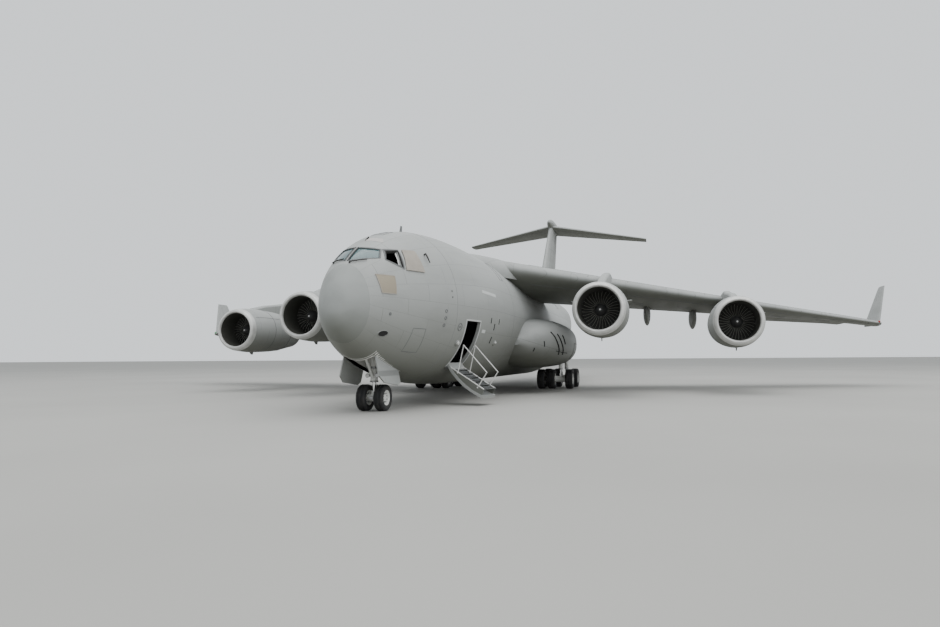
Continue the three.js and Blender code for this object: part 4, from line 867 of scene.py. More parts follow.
class Foil:
    """A wing-like surface whose place(span, aft, up) gives a point, with a hinge line along it."""

    def __init__(self, place, chord, thick, line, probes, up):
        self.place, self.chord, self.thick, self.line, self.up = place, chord, thick, line, up
        first, second = [self.hinge(span) for span in probes]
        self.along = (second - first).normalized()
        self.rate = (second - first).length / (probes[1] - probes[0])
        self.origin = first - self.along * self.rate * probes[0]

    def hinge(self, span):
        return Vector(self.place(span, self.line * self.chord(span), 0))

    def skin(self, span, share, side):
        thick = half_thick(share) * self.thick(span) * self.chord(span) + EDGE_HALF
        return Vector(self.place(span, share * self.chord(span), side * thick))

    def square_cut(self, span, shift=0.0):
        """The span at each share of the chord where a plane square to the hinge cuts it."""
        along = span * self.rate + shift

        def at(share, side):
            guess = span
            for _ in range(8):
                here = self.skin(guess, share, side)
                guess -= ((here - self.origin).dot(self.along) - along) / self.rate
            return guess

        return at

    def panel(self, ends, shares, steps=6, count=16, round_nose=False):
        """A closed stretch of the surface between two ends, from one share of the chord to another."""
        first, last = shares
        if first == 0:
            spread = [last * (1 - math.cos(math.pi / 2 * k / count)) for k in range(count + 1)]
        else:
            spread = [mix(first, last, k / count) for k in range(count + 1)]
        near, far = [end if callable(end) else (lambda share, side, value=end: value) for end in ends]

        def skin_at(t, share, side):
            return self.skin(mix(near(share, side), far(share, side), t), share, side)

        rings = []
        for t in np.linspace(0, 1, steps + 1):
            upper, lower = [[skin_at(t, share, side) for share in spread] for side in (1, -1)]
            nose = []
            if round_nose:
                middle = skin_at(t, first, 0)
                radius = (upper[0] - middle).length
                back, rise = (upper[1] - upper[0]).normalized(), (upper[0] - middle).normalized()
                for angle in (math.pi * (0.5 + k / 10) for k in range(1, 10)):
                    nose.append(middle + radius * (math.cos(angle) * back + math.sin(angle) * rise))
            rings.append([*reversed(upper), *nose, *(lower[1:] if first == 0 else lower)])
        return loft(rings)

    def moving_panel(self, span, steps, round_nose=True):
        """The stretch behind the hinge line that turns about it."""
        ends = (self.square_cut(span[0], GAP), self.square_cut(span[1], -GAP))
        return self.panel(ends, (self.line, 1), steps, round_nose=round_nose)


def wing_chord(x):
    return mix(*WING_CHORD, x / WING_SPAN)


def wing_place(x, aft, up):
    sag = TWIST_DROP * max(0, 1 - x / TWIST_END) * aft / wing_chord(x)
    return (x, WING_LE + WING_SWEEP * x + aft, WING_Z - WING_DROP * x + up - sag)


UP = Vector((0, 0, 1))
WING = Foil(wing_place, wing_chord, lambda x: mix(*WING_THICK, x / WING_SPAN), SURFACE_LINE, (4, 20), UP)
TAILPLANE = Foil(
    lambda x, aft, up: (x, TAIL_LE + TAIL_SWEEP * x + aft, TAIL_Z - TAIL_DROP * x + up),
    lambda x: mix(*TAIL_CHORD, x / TAIL_SPAN), lambda x: TAIL_THICK, ELEVATOR_LINE, (1, 9), UP,
)


def fin_share(z):
    return (z - FIN_FOOT[0]) / (FIN_TOP[0] - FIN_FOOT[0])


FIN = Foil(
    lambda z, aft, up: (up, mix(FIN_FOOT[1], FIN_TOP[1], fin_share(z)) + aft, z),
    lambda z: mix(FIN_FOOT[2], FIN_TOP[2], fin_share(z)), lambda z: FIN_THICK, RUDDER_LINE, (8, 15),
    Vector((1, 0, 0)),
)


def surface_gap(foil, span):
    """Share of the chord ahead of a hinge line that a round-nosed surface needs."""
    radius = half_thick(foil.line) * foil.thick(span) * foil.chord(span) + 2 * EDGE_HALF + GAP
    return radius / foil.chord(span)


def fairing(x, aft_part):
    """A flap's fairing under the wing, ahead of the hinge or behind it."""
    hinge = WING.hinge(x)
    slope = WING.along.y / WING.along.x
    rings = []
    for t in np.linspace(0, 1, 15):
        far = t * 1.02 - (0.02 if aft_part else 1)
        swell = max(1 - far * far, 0.0004) ** 0.55
        ring = []
        for angle in round_angles(20):
            dx = FAIRING_HALF * swell * math.cos(angle)
            dz = FAIRING_HIGH * swell * math.sin(angle) - FAIRING_DROP
            y = far * FAIRING_LONG
            if aft_part:
                y = max(y, slope * dx + GAP / 2 + max(0, -FLAP_PIN_DROP - dz))
            else:
                y = min(y, slope * dx - GAP)
            ring.append((x + dx, hinge.y + y, hinge.z + dz))
        rings.append(ring)
    return loft(rings)


def winglet():
    rings = []
    shares = [(1 - math.cos(math.pi * k / 16)) / 2 for k in range(17)]
    for t in (-0.12, 0, 0.04, 0.1, 0.2, 0.35, 0.55, 0.8, 0.95, 1):
        up = max(t, 0)
        chord = mix(WING_CHORD[1], WINGLET_CHORD, up) * (1 if t < 0.96 else 0.93)
        le = WING_LE + WING_SWEEP * WING_SPAN + WINGLET_BACK * up
        x = WING_SPAN + WINGLET_LEAN * up - WINGLET_INSET
        z = WING_Z - WING_DROP * WING_SPAN + WINGLET_HIGH * up + min(t, 0)
        ring = []
        for side, share in [(1, s) for s in reversed(shares)] + [(-1, s) for s in shares[1:]]:
            thick = half_thick(share) * WINGLET_THICK * chord + EDGE_HALF
            ring.append((x - side * thick, le + share * chord, z))
        rings.append(ring)
    return loft(rings)


def control_surface(name, shape):
    pair(name, [(shape, WING_PAINT)], body=f"{name}_{{side}}_panel", slot="composite_skin")


def make_wings():
    root, tip = FLAPS["inner"][0], FLAPS["outer"][1]
    start, end = AILERON
    cuts = {edge: WING.square_cut(edge) for edge in (root, tip, start, end)}
    aileron_front = SURFACE_LINE - surface_gap(WING, end)
    parts = [
        WING.panel((0.004, WING_SPAN), (0, FRONT_END), 16, 22),
        WING.panel((0.004, cuts[root]), (FRONT_END, 1), 4),
        WING.panel((cuts[root], cuts[tip]), (FRONT_END, SURFACE_LINE - 0.004), 8, 3),
        WING.panel((cuts[tip], cuts[start]), (FRONT_END, 1), 1),
        WING.panel((cuts[start], cuts[end]), (FRONT_END, aileron_front), 4, 2),
        WING.panel((cuts[end], WING_SPAN), (FRONT_END, 1), 3),
    ]
    parts += [fairing(x, False) for places in FAIRINGS.values() for x in places]
    pair("wing", [([*parts, winglet()], WING_PAINT)])
    for name, span in FLAPS.items():
        tails = [fairing(x, True) for x in FAIRINGS[name]]
        control_surface(f"flap_{name}", [WING.moving_panel(span, 8, False), *tails])
    aileron = WING.moving_panel(AILERON, 6)
    control_surface("aileron", turned_about(aileron, WING.origin, WING.along, -AILERON_DROOP))


def make_tail():
    cuts = {z: FIN.square_cut(z) for span in RUDDERS.values() for z in span}
    line_end = RUDDER_LINE - surface_gap(FIN, FIN_FOOT[0])
    parts = [FIN.panel((FIN_FOOT[0], FIN_TOP[0] + 0.1), (0, line_end), 10, 22)]
    foot, below, above, top = [cuts[z] for span in RUDDERS.values() for z in span]
    for ends in ((FIN_FOOT[0] + 0.2, foot), (below, above), (top, FIN_TOP[0])):
        parts.append(FIN.panel(ends, (line_end, 1), 2))
    stand_in("fin", [(parts, FIN_PAINT)])
    for name, span in RUDDERS.items():
        rudder = [(FIN.moving_panel(span, 5), FIN_PAINT)]
        stand_in(f"rudder_{name}", rudder, body=f"rudder_{name}_panel", slot="composite_skin")
    line_end = ELEVATOR_LINE - surface_gap(TAILPLANE, ELEVATOR[0])
    root, tip = [TAILPLANE.square_cut(edge) for edge in ELEVATOR]
    half = joined(
        TAILPLANE.panel((0.0, TAIL_SPAN), (0, line_end), 8, 22),
        TAILPLANE.panel((0.0, root), (line_end, 1), 2),
        TAILPLANE.panel((tip, TAIL_SPAN), (line_end, 1), 2),
    )
    stand_in("tailplane", [(both_sides(half), WING_PAINT), (bullet(), FIN_PAINT)])
    control_surface("elevator", TAILPLANE.moving_panel(ELEVATOR, 6))


def bulge(values, power):
    return np.sign(values) * np.abs(values) ** power


def oval(centre, half, high, sides, power=1.0):
    """A ring square to the y axis: an ellipse, or a squarer one with a power under 1."""
    x, y, z = centre
    angles = round_angles(sides)
    xs, zs = half * bulge(np.cos(angles), power), high * bulge(np.sin(angles), power)
    return np.column_stack([x + xs, np.full(sides, y), z + zs])


def bullet():
    swell = [(0, 0.12), (0.06, 0.55), (0.2, 0.9), (0.45, 1), (0.75, 0.72), (1, 0.2)]
    rings = []
    for t in np.linspace(0, 1, 40):
        size = float(curve_through(swell, t)[0])
        centre = (0, mix(BULLET_FROM, BULLET_TO, t), BULLET_Z)
        rings.append(oval(centre, BULLET_HALF * size, BULLET_HIGH * size, 40))
    return loft(rings)


SADDLE = [
    (11.2, 0.6, 7.45), (12.3, 1.5, 7.6), (13.6, 2.4, 7.72), (16.3, 3.2, 7.84),
    (20.8, 3.1, 8.04), (24.8, 2.5, 7.92), (28.3, 1.7, 7.75), (30.8, 0.6, 7.55),
]
SADDLE_BASE, SADDLE_SIDES, SADDLE_SQUARE = 6.4, 49, 0.75


def make_saddle():
    rings = []
    angles = np.linspace(0, math.pi, SADDLE_SIDES)
    for y in np.linspace(SADDLE[0][0], SADDLE[-1][0], 60):
        half, top = curve_through(SADDLE, y)
        xs, rise = half * bulge(np.cos(angles), SADDLE_SQUARE), bulge(np.sin(angles), SADDLE_SQUARE)
        rings.append(np.column_stack([xs, np.full(SADDLE_SIDES, y), mix(SADDLE_BASE, top, rise)]))
    stand_in("wing_root_fairing", [(loft(rings), BODY_PAINT)])


# Engines


def lip_of(engine):
    x, z, ahead = ENGINES[engine]
    return np.array((x, WING_LE + WING_SWEEP * x - ahead, z))


def blade_at(share, tip):
    """Radius, stagger, chord and sweep round of a blade at a share of its height."""
    stagger = math.radians(mix(22, 63, share))
    return mix(HUB_RADIUS, tip, share), stagger, mix(0.15, 0.27, share), 0.05 * math.sin(math.pi * share)


def fan_blade(turn):
    """A twisted blade from hub to tip."""
    section = [(-0.5, 0), (-0.2, 0.011), (0.2, 0.009), (0.5, 0), (0.2, -0.009), (-0.2, -0.011)]
    rings = []
    for t in np.linspace(0, 1, 7):
        radius, stagger, chord, sweep = blade_at(t, FAN_RADIUS - 0.005)
        ring = []
        for along, thick in section:
            axial = along * chord * math.cos(stagger) - thick * math.sin(stagger)
            around = along * chord * math.sin(stagger) + thick * math.cos(stagger)
            angle = turn + sweep + around / radius
            ring.append((radius * math.cos(angle), BLADE_MIDDLE + axial, radius * math.sin(angle)))
        rings.append(ring)
    return loft(rings)


def blade_edge(turn):
    """A thin strip along a blade's leading edge, which carries a painted highlight."""
    path = []
    for t in np.linspace(0.02, 0.97, 6):
        radius, stagger, chord, sweep = blade_at(t, FAN_RADIUS)
        around = turn + sweep - 0.5 * chord * math.sin(stagger) / radius
        ahead = BLADE_MIDDLE - 0.5 * chord * math.cos(stagger)
        path.append((radius * math.cos(around), ahead, radius * math.sin(around)))
    return tube(path, 0.008, 5)


def radial_plate(outline, angle, half=0.012):
    """A plate that stands out from an engine's axis. Its outline is radius and distance aft."""
    c, s = math.cos(angle), math.sin(angle)
    return plate(outline, lambda r, y, w: (r * c - w * s, y, r * s + w * c), -half, half)


def engine_profiles():
    """Profiles of an engine's round parts, from its lip aft."""
    cowl, duct = smooth_line(COWL, 8), smooth_line(DUCT, 8)
    edge = [(1.314, LIP_END)]
    nose = [(1.04, 0.12), (1.052, 0.06), (1.085, 0.015), (1.13, 0.0)]
    lip = [*nose, *[p for p in cowl[1:] if p[1] < LIP_END], *edge, (1.29, LIP_END), (1.05, 0.2)]
    shell = [*edge, *[p for p in cowl if p[1] > LIP_END], *duct[:8], (1.08, 5.2), (1.29, LIP_END)]
    liner = [*duct, (1.06, 0.3), (1.09, 3.4), (0.97, 5.98)]
    case = smooth_line([(0.5, FAN_BACK), (0.62, 3.0), (0.62, 4.2), (0.5, 5.6), (0.4, 6.6)], 5)
    plug = smooth_line([(0.3, 6.2), (0.3, 6.6), (0.2, 7.0), (0.12, 7.3)], 4)
    core = [(0, FAN_BACK), *case, (0.37, 6.6), (0.36, 6.2), *plug, (0, 7.3)]
    spinner = smooth_line([(0.02, 0.95), (0.1, 0.99), (0.2, 1.11), (0.3, 1.29), (0.34, 1.45)], 5)
    hub = [(0, 1.69), (0.34, 1.69), (0.34, 1.45), *reversed(spinner), (0, 0.95)]
    return lip, shell, liner, core, hub


def make_engines():
    lip_line, shell, liner, core, hub = engine_profiles()
    turns = [2 * math.pi * k / FAN_BLADES for k in range(FAN_BLADES)]
    blades = joined(*[fan_blade(turn) for turn in turns])
    edges = joined(*[blade_edge(turn) for turn in turns])
    tip = [(0, 0.946), (0.02, 0.948), (0.04, 0.955), (0.05, 0.965), (0.0, 0.975)]
    vane = [(0.55, 2.1), (1.02, 2.0), (1.02, 2.25), (0.55, 2.35)]
    vanes = joined(*[radial_plate(vane, angle) for angle in round_angles(24)])
    fin = [(1.34, 1.0), (1.62, 1.75), (1.62, 2.3), (1.34, 2.55)]
    for name in ENGINES:
        lip = lip_of(name)
        looks = ((shell, NACELLE_PAINT[name]), (lip_line, LIP_METAL), (liner, SHADED_DUCT_LINER))
        nacelle = [(turned(profile, lip, 72, closed=True), look) for profile, look in looks]
        strakes = [radial_plate(fin, math.radians(angle)) for angle in STRAKES[name]]
        nacelle.append((moved(joined(*strakes), lip), NACELLE_PAINT[name]))
        pair(f"nacelle_{name}", nacelle, slot="nacelle_paint")
        inside = [(turned(core, lip, 40), CORE_METAL), (moved(vanes, lip), STEEL)]
        pair(f"engine_core_{name}", inside, slot="core_steel")
        fan = [
            (moved(blades, lip), SHADED_BLADE_METAL), (moved(edges, lip), BLADE_EDGE_HIGHLIGHT),
            (turned(hub, lip, 40), SPINNER_PAINT), (turned(tip, lip, 20), PALE_PAINT),
        ]
        pair(f"fan_{name}", fan, body=f"fan_disc_{name}_{{side}}", slot="fan_titanium")
        pair(f"pylon_{name}", [(pylon(name), BODY_PAINT)], bevel=0.16)


def pylon(name):
    x = ENGINES[name][0]
    _, front, axis = lip_of(name)
    le, chord, z = WING_LE + WING_SWEEP * x, wing_chord(x), WING_Z - WING_DROP * x
    outline = [
        (front + 1.5, axis + 1.2), (front + 1.7, axis + 1.45), (front + 3.0, min(axis + 1.9, z + 0.15)),
        (le - 1.4, z + 0.34), (le - 0.2, z + 0.55), (le + 1.2, z + 0.5),
        (le + 0.26 * chord, z + 0.1), (le + 0.55 * chord, z - 0.3),
        (le + 0.55 * chord, z - 1.0), (le + 0.36 * chord, z - 1.25), (front + 6.6, axis + 0.75),
        (front + 6.3, axis + 0.9), (front + 5.0, axis + 1.05), (front + 2.6, axis + 1.1),
    ]
    return plate(outline, from_side, x - PYLON_HALF, x + PYLON_HALF)


# Landing gear


def pod_ring(t):
    swell = float(curve_through(POD_SWELL, t)[0])
    centre = (POD_X, mix(POD_FROM, POD_TO, t), POD_Z)
    return oval(centre, POD_HALF * swell, POD_HIGH * swell, 64, POD_SQUARE)


def make_pods():
    shape = loft([pod_ring(t) for t in [*np.linspace(0, 0.1, 14), *np.linspace(0.12, 1, 50)]])
    slots = []
    for y in MAIN_AXLES.values():
        low = (MAIN_LEG_X - SLOT_HALF, y - SLOT_LONG, 0.2)
        slots.append(block(low, (MAIN_LEG_X + SLOT_HALF, y + SLOT_LONG, SLOT_ROOF)))
    pair("gear_pod", [(carved(shape, joined(*slots)), BODY_PAINT)])


# A wheel's profiles, as shares of its radius and of its half width
TYRE_SIDE = [
    (0.975, 0.76), (0.93, 0.9), (0.86, 0.985), (0.78, 0.99), (0.68, 0.93), (0.6, 0.84), (0.56, 0.8),
    (0.55, 0.6),
]
HUB_DISH = [
    (0, 0.68), (0.13, 0.68), (0.16, 0.6), (0.2, 0.5), (0.42, 0.46), (0.5, 0.6), (0.54, 0.8), (0.575, 0.82),
    (0.58, 0.7), (0.56, 0.4), (0, 0.3),
]
HUB_RING = [(0.2, 0.51), (0.22, 0.53), (0.26, 0.53), (0.26, 0.48)]
GROOVES = (0.16, 0.34, 0.5)
GROOVE_HALF, GROOVE_FLOOR, GROOVE_DEEP = 0.012, 0.008, 0.018


def ring_of(profile, centre, radius, count, first, sides):
    """A round shape repeated on a circle about a wheel's centre."""
    x, y, z = centre
    angles = [2 * math.pi * (k + first) / count for k in range(count)]
    places = [(x, y + radius * math.cos(angle), z + radius * math.sin(angle)) for angle in angles]
    return [turned(profile, place, sides, "x") for place in places]


def wheel(x, y, radius, wide):
    """A tyre with its grooves and shoulders, and a dished hub on each side."""
    h = wide / 2
    half = [(radius, 0.0)]
    for middle in (share * h for share in GROOVES):
        floor = radius - GROOVE_DEEP
        half += [(radius, middle - GROOVE_HALF), (floor, middle - GROOVE_FLOOR)]
        half += [(floor, middle + GROOVE_FLOOR), (radius, middle + GROOVE_HALF)]
    half += [(radius - 0.004, 0.62 * h), *[(radius * r, h * far) for r, far in TYRE_SIDE]]
    centre = (x, y, radius)
    tyre = turned([(r, -s) for r, s in reversed(half)] + half[1:], centre, 56, "x", closed=True)
    hubs, holes = [], []
    for s in (-1, 1):
        dish, recess = [[(radius * r, s * h * far) for r, far in line] for line in (HUB_DISH, HUB_RING)]
        hubs += [turned(dish, centre, 40, "x"), turned(recess, centre, 32, "x", closed=True)]
        # Each hub hole is a dark disc: painted shade for the inside of the hole.
        hole = [(0, -s * 0.02), (radius * 0.068, -s * 0.02), (radius * 0.06, s * 0.012), (0, s * 0.012)]
        nut = [(0, -s * 0.03), (0.018, -s * 0.03), (0.018, s * 0.02), (0, s * 0.025)]
        holes += ring_of(hole, (x + s * 0.48 * h, y, radius), radius * 0.335, 8, 0.5, 14)
        hubs += ring_of(nut, (x + s * 0.56 * h, y, radius), radius * 0.46, 10, 0, 8)
    return [(tyre, TYRE_RUBBER), (hubs, GEAR_PAINT), (holes, OPENING_SHADE_AND_SEAMS)]


def post(x, y, low, high, radius, sides=20):
    return tube([(x, y, low), (x, y, high)], radius, sides)


def beam(left, right, y, z, radius, sides=24):
    return tube([(left, y, z), (right, y, z)], radius, sides)


def make_main_gear():
    x, z = MAIN_LEG_X, MAIN_TYRE
    hub = HUB_FACE * MAIN_WIDE / 2 + 0.003
    for place, y in MAIN_AXLES.items():
        wheels = [part for across in MAIN_WHEELS for part in wheel(across, y, MAIN_TYRE, MAIN_WIDE)]
        axle = beam(MAIN_WHEELS[0], MAIN_WHEELS[-1], y, z, AXLE_RADIUS, 16)
        body = f"main_axle_{place}_{{side}}"
        pair(f"main_wheels_{place}", [*wheels, (axle, STEEL)], body=body, slot="tyre")
        painted_parts = [
            post(x, y, 1.25, SLOT_ROOF, MAIN_LEG), tube([(x, y, 1.35), (x, y - 0.38, 2.1)], 0.05, 12),
            beam(MAIN_WHEELS[1] + hub, MAIN_WHEELS[2] - hub, y, z, 0.2),
        ]
        painted_parts += [tube([(x, y + 0.1, high), (x, y + 0.34, 0.96)], 0.035, 8) for high in (1.22, 0.7)]
        leg = [(painted_parts, GEAR_PAINT), (post(x, y, z, MAIN_ROD_TOP, MAIN_ROD), CHROME)]
        leg.append((post(x, y, 1.25, 1.32, 0.15), STEEL))
        pair(f"main_leg_{place}", leg, slot="gear_paint", crease=40)


def make_nose_gear():
    y, r = NOSE_Y, NOSE_TYRE
    wheels = [part for x in (-NOSE_TRACK, NOSE_TRACK) for part in wheel(x, y, r, NOSE_WIDE)]
    axle = beam(-NOSE_TRACK, NOSE_TRACK, y, r, AXLE_RADIUS, 16)
    stand_in("nose_wheels", [*wheels, (axle, STEEL)], body="nose_wheel_pair", slot="tyre")
    inner = NOSE_TRACK - HUB_FACE * NOSE_WIDE / 2 - 0.003
    links = [((0.06, 0.62), (0.24, 0.7)), ((0.18, 0.62), (0.24, 1.0)), ((0.06, 0.93), (0.24, 1.0))]
    scissor = [block((-0.05, y + near, low), (0.05, y + far, high)) for (near, low), (far, high) in links]
    leg = [
        (post(0, y, r, NOSE_ROD_TOP, NOSE_ROD), CHROME),
        ([beam(-inner, inner, y, r, 0.15), post(0, y, r, 0.78, 0.12), *scissor], GEAR_PAINT),
        (block((-0.09, y - 0.3, 0.46), (0.09, y - 0.1, 0.56)), STEEL),
    ]
    stand_in("nose_leg", leg, body="nose_steering", slot="gear_paint", bevel=0.012)
    stay = tube([(0, y - 0.05, 1.2), (0, y - 1.15, BAY_ROOF)], 0.06, 14)
    lamp_bar = block((-0.3, y - 0.08, 1.3), (0.3, y + 0.08, 1.42))
    strut = [
        ([post(0, y, NOSE_LEG_LOW, BAY_ROOF, NOSE_LEG, 24), stay, lamp_bar], GEAR_PAINT),
        ([post(0, y, NOSE_LEG_LOW, 1.16, 0.165, 24), post(0, y, 1.62, 1.7, 0.16, 24)], STEEL),
    ]
    lamp = [(0, 0.0), (0.05, 0.0), (0.085, -0.09), (0.09, -0.11), (0.08, -0.115), (0, -0.1)]
    lens = [(0, -0.105), (0.078, -0.112), (0, -0.118)]
    for place in ((-0.2, y - 0.08, 1.36), (0.2, y - 0.08, 1.36)):
        strut += [(turned(lamp, place, 20), STEEL), (turned(lens, place, 20), PALE_PAINT)]
    stand_in("nose_strut", strut, slot="gear_paint", bevel=0.01)
    door = [(-1.3, 2.6), (0.55, 2.6), (0.55, 1.05), (0.3, 0.95), (-0.95, 1.1), (-1.3, 1.35)]
    lean, middle = math.radians(12), 1.8

    def hang(aft, z, out):
        up = z - middle
        x = BAY_HALF + 0.04 + out * math.cos(lean) - up * math.sin(lean)
        return x, y + aft, middle + out * math.sin(lean) + up * math.cos(lean)

    panel = carved(plate(door, hang, 0, 0.045), hull(0.5, COCKPIT_END, -0.004))
    pair("nose_gear_door", [(panel, BODY_PAINT)], bevel=0.01)


def dress_kept_nodes():
    for node, look in (("flight_deck", CABIN_PAINT), ("cargo_floor", FLOOR_METAL)):
        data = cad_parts[node].data
        data.materials.clear()
        data.materials.append(look)


# Fittings on the body. Places on its side are station and height, some with a size and how far out
ANTENNAS = [(5.75, 0.3, 0.24), (11.4, 0.3, 0.3), (14.6, 0.38, 0.34)]
SIDE_PANEL = [(1.24, 4.97), (1.98, 4.99), (1.9, 4.35), (1.3, 4.34)]
SIDE_HATCH = [(2.99, 3.13), (3.69, 3.12), (3.77, 2.24), (2.95, 2.28)]
AIR_PROBE = [(4.22, 6.11, 0.0), (4.2, 6.1, 0.1), (4.15, 5.95, 0.12), (4.12, 5.72, 0.12)]
DOMES = [(6.15, 2.64, 0.15, 0.04), (10.14, 2.72, 0.15, 0.04)]
DOME_CAPS = [(6.15, 2.66, 0.08, 0.09), (10.14, 2.76, 0.06, 0.09)]
PORTS = [
    (5.25, 4.75, 0.04, 0.02), (5.25, 4.5, 0.04, 0.02), (1.66, 3.6, 0.06, 0.02), (5.95, 3.31, 0.05, 0.014),
]
PORT_RINGS = [(4.81, 3.9, 0.06), (4.81, 3.62, 0.06), (4.78, 3.33, 0.06), (5.95, 3.31, 0.15)]
VENT, VENT_SIZE = (1.6, 2.9), (0.2, 0.1)
SEAM, BAND_WIDE, BAND_OUT, BAND_AHEAD = 0.012, 0.018, 0.004, 0.015
BROW = [(2.42, 6.46), (2.72, 6.66), (2.95, 6.58), (2.65, 6.38)]
PALE_BAND = [(7.95, 5.06), (9.6, 5.0), (9.6, 4.86), (7.95, 4.92)]
PALE_SILL = [(8.05, 3.28), (8.4, 3.27), (8.4, 3.13), (8.05, 3.14)]


def dot(y, z, radius, out):
    """A round fitting on the port side."""
    middle = on_side(y, z)
    turn = UP.rotation_difference(skin_normal(np.array(middle))).to_matrix()
    profile = [(0, -0.01), (radius, -0.01), (radius, out * 0.6), (radius * 0.8, out), (0, out)]
    return placed(turned(profile, (0, 0, 0), 20, "z"), lambda point: middle + turn @ point)


def oval_on_side(y, z, half, high, count=20):
    return [np.array((y + half * math.cos(a), z + high * math.sin(a))) for a in round_angles(count)]


def make_fittings():
    blades = []
    for y, tall, long in ANTENNAS:
        crown = section_at(y)[1]
        outline = [(0, -0.05), (long, -0.05), (long * 1.1, tall), (long * 0.55, tall)]
        blades.append(plate([(y + aft, crown + up) for aft, up in outline], from_side, -0.02, 0.02))
    piece("crown_antennas", [(blades, MARK_GREY)], bevel=0.01)
    square = patch(SIDE_PANEL, on_side, -0.005, 0.02)
    edging = frame_round(SIDE_PANEL, on_side, 0.03, -0.005, 0.024)
    piece("side_panel_patch", [(square, BEIGE_PATCH), (edging, COVER_CLOTH)])
    probe = tube([on_side(*place) for place in AIR_PROBE], [0.035, 0.035, 0.035, 0.02], 8)
    piece("air_probe", [(probe, SEAL_RUBBER)], slot="gear_paint")
    bases, caps, ports = [[dot(*place) for place in places] for places in (DOMES, DOME_CAPS, PORTS)]
    for y, z, radius in PORT_RINGS:
        circle = oval_on_side(y, z, radius, radius)
        ports.append(tube([on_side(*p) for p in [*circle, circle[0]]], 0.02, 6))
    piece("side_domes", [(bases, BODY_PAINT), (caps, PALE_PAINT), (ports, MARK_GREY)])
    piece("side_hatch_seam", [(frame_round(SIDE_HATCH, on_side, 0.025, -0.01, 0.004), MARK_GREY)])


def make_vent():
    """An oval opening low on the nose, with a raised edge. The opening is a dark plate, painted shade for
    its inside.
    """
    middle = np.array(VENT)
    rim = oval_on_side(*VENT, *VENT_SIZE)

    def across(levels, capped):
        return loft([[on_side(*mix(middle, p, share), out) for p in rim] for share, out in levels], capped)

    hole = across(((0.05, 0.006), (1.0, 0.006), (1.0, -0.02), (0.05, -0.02)), True)
    edge = across(((1.0, -0.01), (1.0, 0.018), (1.16, 0.014), (1.16, -0.01), (1.0, -0.01)), False)
    piece("side_vent", [(hole, OPENING_SHADE_AND_SEAMS), (edge, BODY_PAINT)])


def on_top(x, y, out=0.0):
    """A point on the upper half of the body."""
    half, crown, _, waist = section_at(y)
    return off_skin(x, y, waist + (crown - waist) * math.sqrt(max(0, 1 - (x / half) ** 2)), out)


def on_pod(y, z, out=0.0):
    """A point on the outer side of the port gear pod."""
    swell = float(curve_through(POD_SWELL, (y - POD_FROM) / (POD_TO - POD_FROM))[0])
    rise = min(1, abs(z - POD_Z) / (POD_HIGH * swell)) ** (1 / POD_SQUARE)
    return Vector((POD_X + POD_HALF * swell * math.sqrt(1 - rise * rise) ** POD_SQUARE + out, y, z))


def on_foil(foil, side):
    def place(span, share, out=0.0):
        return foil.skin(span, share, side) + foil.up * side * out

    return place


def line_on(place, points, radius, steps=8, out=0.0):
    """A round bead along a line on a surface."""
    points = np.asarray(points, float)
    path = [mix(a, b, k / steps) for a, b in zip(points, points[1:]) for k in range(steps)]
    return tube([place(*p, out) for p in [*path, points[-1]]], radius, 6)


def box_on(place, low, high, radius):
    """A bead round a rectangle on a surface."""
    corners = [low, (high[0], low[1]), high, (low[0], high[1]), low]
    return line_on(place, corners, radius)


def make_body_fittings():
    hatches = [box_on(on_top, (-0.32, y), (0.32, y + 0.8), SEAM) for y in (6.6, 9.2, 31.6)]
    hatches.append(box_on(on_top, (-0.24, 3.5), (0.24, 4.5), SEAM))
    hatches.append(box_on(on_top, (-0.1, 3.9), (0.1, 4.3), 0.01))
    doors = [box_on(on_side, (29.3, 1.9), (30.25, 3.9), SEAM)]
    doors += [box_on(on_side, (y, 6.0), (y + 0.7, 6.9), 0.011) for y in (11.9, 31.5)]
    piece("body_seams", [([*hatches, both_sides(joined(*doors))], MARK_GREY)])
    rings = []
    for y in (end - BAND_AHEAD for end in (COCKPIT_END, FORWARD_END, TAIL_CONE_START)):
        back = y + BAND_WIDE
        band = ((y, BAND_OUT), (y, -BAND_OUT), (back, -BAND_OUT), (back, BAND_OUT))
        rings.append(loft([ring_at(*place) for place in band]))
    piece("body_joint_bands", [(rings, SEAM_GREY)])
    brow, band = [patch(corners, on_side, -0.005, 0.006) for corners in (BROW, PALE_BAND)]
    sill = patch(PALE_SILL, on_side, -0.005, 0.012)
    piece("pale_patches", [([band, sill], PALE_PATCH), (brow, BROW_PATCH)])
    # The slits are dark bars: painted shade for their inside.
    slits = [line_on(on_side, [(9.4, z), (9.4, z + 0.3)], 0.03, 2) for z in (3.3, 2.7)]
    slits += [line_on(on_side, [(y, 3.6), (y, 3.85)], 0.025, 2) for y in (8.9, 10.0)]
    piece("side_slits", [(slits, OPENING_SHADE_AND_SEAMS)])
    lamp = [(0, -0.04), (0.11, -0.04), (0.1, 0.06), (0.05, 0.12), (0, 0.13)]
    places = ((0, 18.5, section_at(18.5)[1] + 0.36), (0, 9.0, section_at(9.0)[1]))
    lamps = [turned(lamp, place, 20, "z") for place in places]
    piece("beacons", [(lamps, LAMP_RED)], slot="glass")


